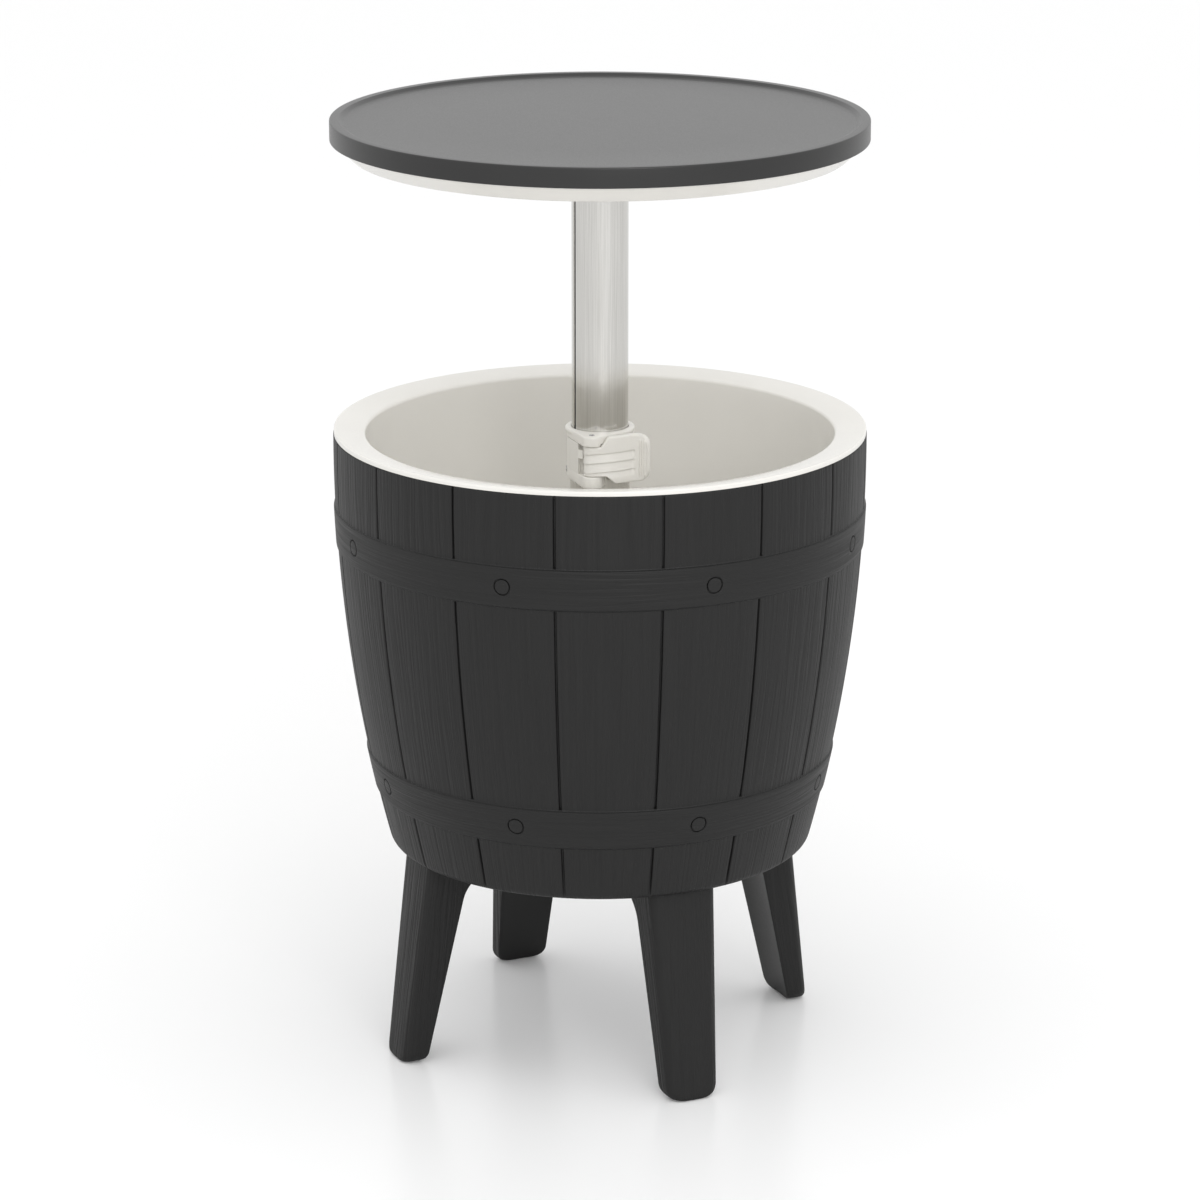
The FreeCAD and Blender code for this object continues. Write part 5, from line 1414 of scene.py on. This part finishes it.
@dataclass
class Drain:
    """Drain plug with its grip bar, and the washer above its head."""

    offset: float = 112.0
    low: float = 171.4
    high: float = 175.4
    head: float = 21.0
    stem: float = 11.7
    stem_top: float = 200.4
    grip_half: float = 3.5
    grip_reach: float = 17.5
    grip_low: float = 162.4

    def build(self) -> None:
        """Makes the plug and the washer."""
        body = lathe(
            [(0, self.low), (self.head, self.low), (self.head, self.high),
             (self.stem, self.high), (self.stem, self.stem_top), (0, self.stem_top)],
            [0, 1.3, 0.4, 0.3, 1.0, 0], 5, 96)
        reach, half = self.grip_reach, self.grip_half
        grip = rounded([(-reach, -half), (reach, -half), (reach, half), (-reach, half)],
                       [half * 0.98] * 4, True, 6)
        parts = [body, prism(grip, self.grip_low, self.low + 1.5, 1.2, 4)]
        place = (0, self.offset, 0)
        show("drain_stopper", [part.placed(0, place) for part in parts], Finish.PLAIN, Body.DRAIN,
             ("drain_plug",), 34)
        washer = hoop(11.85, 19.0, self.high, self.high + 1.85, 96, (0.2, 0.6), 3)
        show("drain_washer", [washer.placed(0, place)], Finish.RUBBER, Body.DRAIN,
             ("drain_gasket",))


@dataclass
class ScrewRow:
    """Identical cross-head screws on a circle."""

    name: str
    node: str
    radius: float
    turns: Numbers
    seat: float
    rising: bool
    bite: float
    body: Body
    sunk: bool = False


@dataclass
class Fasteners:
    """Screws and rivets of plated steel."""

    barrel_seat: float = 171.4
    head_radius: float = 4.4
    head_tall: float = 2.6
    pin_radius: float = 2.1
    dome_share: float = 0.45
    rim_wide: float = 1.2
    taper: float = 0.5
    cross_half: Numbers = (0.32, 0.52)
    cross_reach: Numbers = (1.7, 1.92)
    cross_depth: float = 1.3
    collar_turn: float = 9.6
    collar_rivet_height: float = 496.9

    def head(self, sunk: bool) -> Surface:
        """A screw's head with a cross recess, looking up from z = 0.

        The grid's squares turn into circles outside the recess. Its height is a dome, less a
        recess where |u| or |v| is small, and past the head's radius the grid runs down its side.
        """
        lines = disc_offsets([0, 0.32, 0.42, 0.52, 1.0, 1.75, 1.9, 2.5, 3.2, 3.8, 4.2, 4.4, 4.8,
                              5.6])
        u, v = np.meshgrid(lines, lines)
        side = np.maximum(np.abs(u), np.abs(v))
        factor = round_square(u, v, 1.9, 3.2, (FAR, FAR + 1))
        reach = np.minimum(side, self.head_radius) / np.where(side > 0, side, 1)
        tall, rim = self.head_tall, self.head_tall * (1 - self.dome_share)
        if sunk:
            tall, rim = 0.0, self.head_tall
        dome = -tall * self.dome_share * np.clip(side / self.head_radius, 0, 1) ** 2.5
        drop = np.clip((side - self.head_radius) / self.rim_wide, 0, 1)
        narrow = np.minimum(np.abs(u), np.abs(v))
        deep = (np.interp(narrow, self.cross_half, (1, 0))
                * np.interp(side, self.cross_reach, (1, 0)))
        z = tall + dome - rim * drop - self.cross_depth * deep
        across = factor * reach * (1 - self.taper * drop if sunk else 1)
        points = np.stack([u * across, v * across, z], axis=-1)
        count = len(lines)
        quads = grid_quads(count, count, False, False)
        edge, pole = np.arange(count - 1), count * count
        loop = np.concatenate([edge, edge * count + count - 1, pole - 1 - edge,
                               (count - 1 - edge) * count])
        fan = np.stack([np.roll(loop, -1), loop, 0 * loop + pole, 0 * loop + pole], axis=1)
        flat = np.concatenate([points.reshape(-1, 3), [[0, 0, points[0, 0, 2]]]])
        return Surface(flat, np.concatenate([quads, fan])).outward()

    def screw(self, row: ScrewRow) -> list[Surface]:
        """A head and its pin, standing at the origin with the head upwards."""
        under = self.head_tall if row.sunk else 0.0
        pin = lathe([(0, -row.bite), (self.pin_radius, -row.bite + 1.8),
                     (self.pin_radius, 0.3 - under), (0, 0.3 - under)], [0, 0.4, 0, 0], 5, 24)
        return [self.head(row.sunk), pin]

    def build_row(self, row: ScrewRow) -> None:
        """Places a row's screws and makes them one piece."""
        flip = (1, -1, -1) if row.rising else (1, 1, 1)
        screw = [Surface(part.points * flip, part.quads) for part in self.screw(row)]
        parts = [part.placed(turn, around(row.radius, turn, row.seat)).outward()
                 for turn in row.turns for part in screw]
        show(row.name, parts, Finish.STEEL, row.body, (row.node,), 40)

    def build(self) -> None:
        """Makes every row of screws and the collar's rivets."""
        quarters = [90.0 * k for k in range(4)]
        legs = [45 + turn + side for turn in quarters for side in (-6.5, 6.5)]
        eighths = [45.0 * k for k in range(8)]
        for row in (
            ScrewRow("leg_screw_set", "leg_screws", 124, legs, self.barrel_seat, True, 18,
                     Body.BARREL),
            ScrewRow("socket_screw_set", "socket_screws", 39, quarters, 206.4, False, 17,
                     Body.BARREL),
            ScrewRow("hub_screw_set", "hub_screws", 36, quarters, 768.9, True, 14,
                     Body.MAST, sunk=True),
            ScrewRow("lid_screw_set", "lid_screws", 170, eighths, 772.9, True, 12, Body.MAST),
        ):
            self.build_row(row)
        rivet = lathe([(0, 23.95), (1.8, 23.95), (1.8, 27.6), (3.2, 27.6), (3.2, 28.5),
                       (0, 28.5)], [0, 0, 0, 0.2, 0.7, 0], 4, 40)
        x, y, z = rivet.points.T
        parts = []
        for side in (1, -1):
            lying = np.stack([side * z, y, -side * x + self.collar_rivet_height], axis=1)
            parts.append(Surface(lying, rivet.quads).placed(self.collar_turn).outward())
        show("collar_rivet_pair", parts, Finish.STEEL, Body.BARREL, ("collar_rivets",), 35)


# ---- studio ---------------------------------------------------------------------------------


def aim(item: bpy.types.Object, place: Numbers, turn: float, pitch: float) -> None:
    """Puts a camera or lamp at a place, and points it down by pitch, back to the upright axis."""
    item.location = place
    item.rotation_euler = (math.radians(90 - pitch), 0, math.radians(turn))


@dataclass
class Studio:
    """Pale floor, soft light and the photograph's camera."""

    lens: float = 138.02
    distance: float = 3.7336
    height: float = 1.4672
    turn: float = 20.64
    pitch: float = 16.191
    world_strength: float = 0.92
    target: float = 0.4

    def camera(self) -> None:
        """A camera at the photograph's viewing angle."""
        data = bpy.data.cameras.new("photo_view")
        data.lens, data.sensor_width, data.clip_end = self.lens, 36, 60
        camera = link("photo_view", data)
        aim(camera, around(self.distance, self.turn, self.height), self.turn, self.pitch)
        bpy.context.scene.camera = camera

    def world(self) -> None:
        """Plain white surroundings: a little darker as light than to the camera and in gloss."""
        world = bpy.data.worlds.new("studio")
        bpy.context.scene.world = world
        world.use_nodes = True
        tree = world.node_tree
        tree.nodes.clear()
        path = tree.nodes.new("ShaderNodeLightPath")
        seen = path.outputs["Is Camera Ray"]
        for ray in ("Is Transmission Ray", "Is Glossy Ray"):
            either = tree.nodes.new("ShaderNodeMath")
            either.operation = "MAXIMUM"
            tree.links.new(seen, either.inputs[0])
            tree.links.new(path.outputs[ray], either.inputs[1])
            seen = either.outputs[0]
        strength = tree.nodes.new("ShaderNodeMapRange")
        strength.inputs["To Min"].default_value = self.world_strength
        tree.links.new(seen, strength.inputs["Value"])
        light = tree.nodes.new("ShaderNodeBackground")
        light.inputs["Color"].default_value = (1, 1, 1, 1)
        tree.links.new(strength.outputs["Result"], light.inputs["Strength"])
        out = tree.nodes.new("ShaderNodeOutputWorld")
        tree.links.new(light.outputs[0], out.inputs["Surface"])

    def lamp(self, name: str, turn: float, up: float, away: float, size: float,
             power: float) -> None:
        """A soft square lamp that looks at the middle of the barrel."""
        data = bpy.data.lights.new(name, "AREA")
        data.shape, data.size, data.energy = "SQUARE", size, power
        rise = math.radians(up)
        place = around(away * math.cos(rise), turn, self.target + away * math.sin(rise))
        aim(link(name, data), place, turn, up)

    def floor(self) -> None:
        """A pale floor that keeps the shadow and a faint reflection, whiter to the camera."""
        rows = np.linspace(-14, 14, 29)
        x, y = np.meshgrid(rows, rows)
        points = np.stack([x, y, np.zeros_like(x)], axis=-1).reshape(-1, 3) / MM
        quads = grid_quads(29, 29, False, False)
        piece = make_piece("studio_floor", [Surface(points, quads)])
        nodes = Nodes("white_floor")
        mix = nodes.add("ShaderNodeMix", data_type="RGBA")
        seen = nodes.add("ShaderNodeLightPath").outputs["Is Camera Ray"]
        nodes.join(seen, mix, 0)
        mix.inputs[6].default_value = (0.88, 0.88, 0.88, 1)
        mix.inputs[7].default_value = (0.99, 0.99, 0.99, 1)
        nodes.join(mix.outputs[2], nodes.shader, "Base Color")
        nodes.plain(Roughness=0.25, Specular_IOR_Level=0.2, Emission_Color=(1, 1, 1, 1))
        nodes.join(nodes.math("MULTIPLY", seen, 0.05), nodes.shader, "Emission Strength")
        piece.data.materials.append(nodes.material)

    def build(self) -> None:
        """Sets up the whole studio."""
        bpy.context.scene.view_settings.view_transform = "Standard"
        self.camera()
        self.world()
        self.floor()
        self.lamp("key_lamp", 20, 62, 3.2, 2.4, 10)
        self.lamp("front_lamp", 34, 28, 4.0, 2.0, 30)


def main() -> None:
    """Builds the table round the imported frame."""
    logging.basicConfig(level=logging.INFO, format="%(name)s %(message)s")
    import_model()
    shell = BarrelShell()
    legs = ("leg_front_right", "leg_back_right", "leg_back_left", "leg_front_left")
    for part in (shell, Tank(shell), *(Leg(name, 45.0 + 90 * k) for k, name in enumerate(legs)),
                 Column(), Clamp(), Lid(), Drain(), Fasteners()):
        part.build()
    paint_node("insulation_foam", Finish.FOAM)
    Studio().build()
    bpy.context.view_layer.update()


if __name__ == "__main__":
    main()
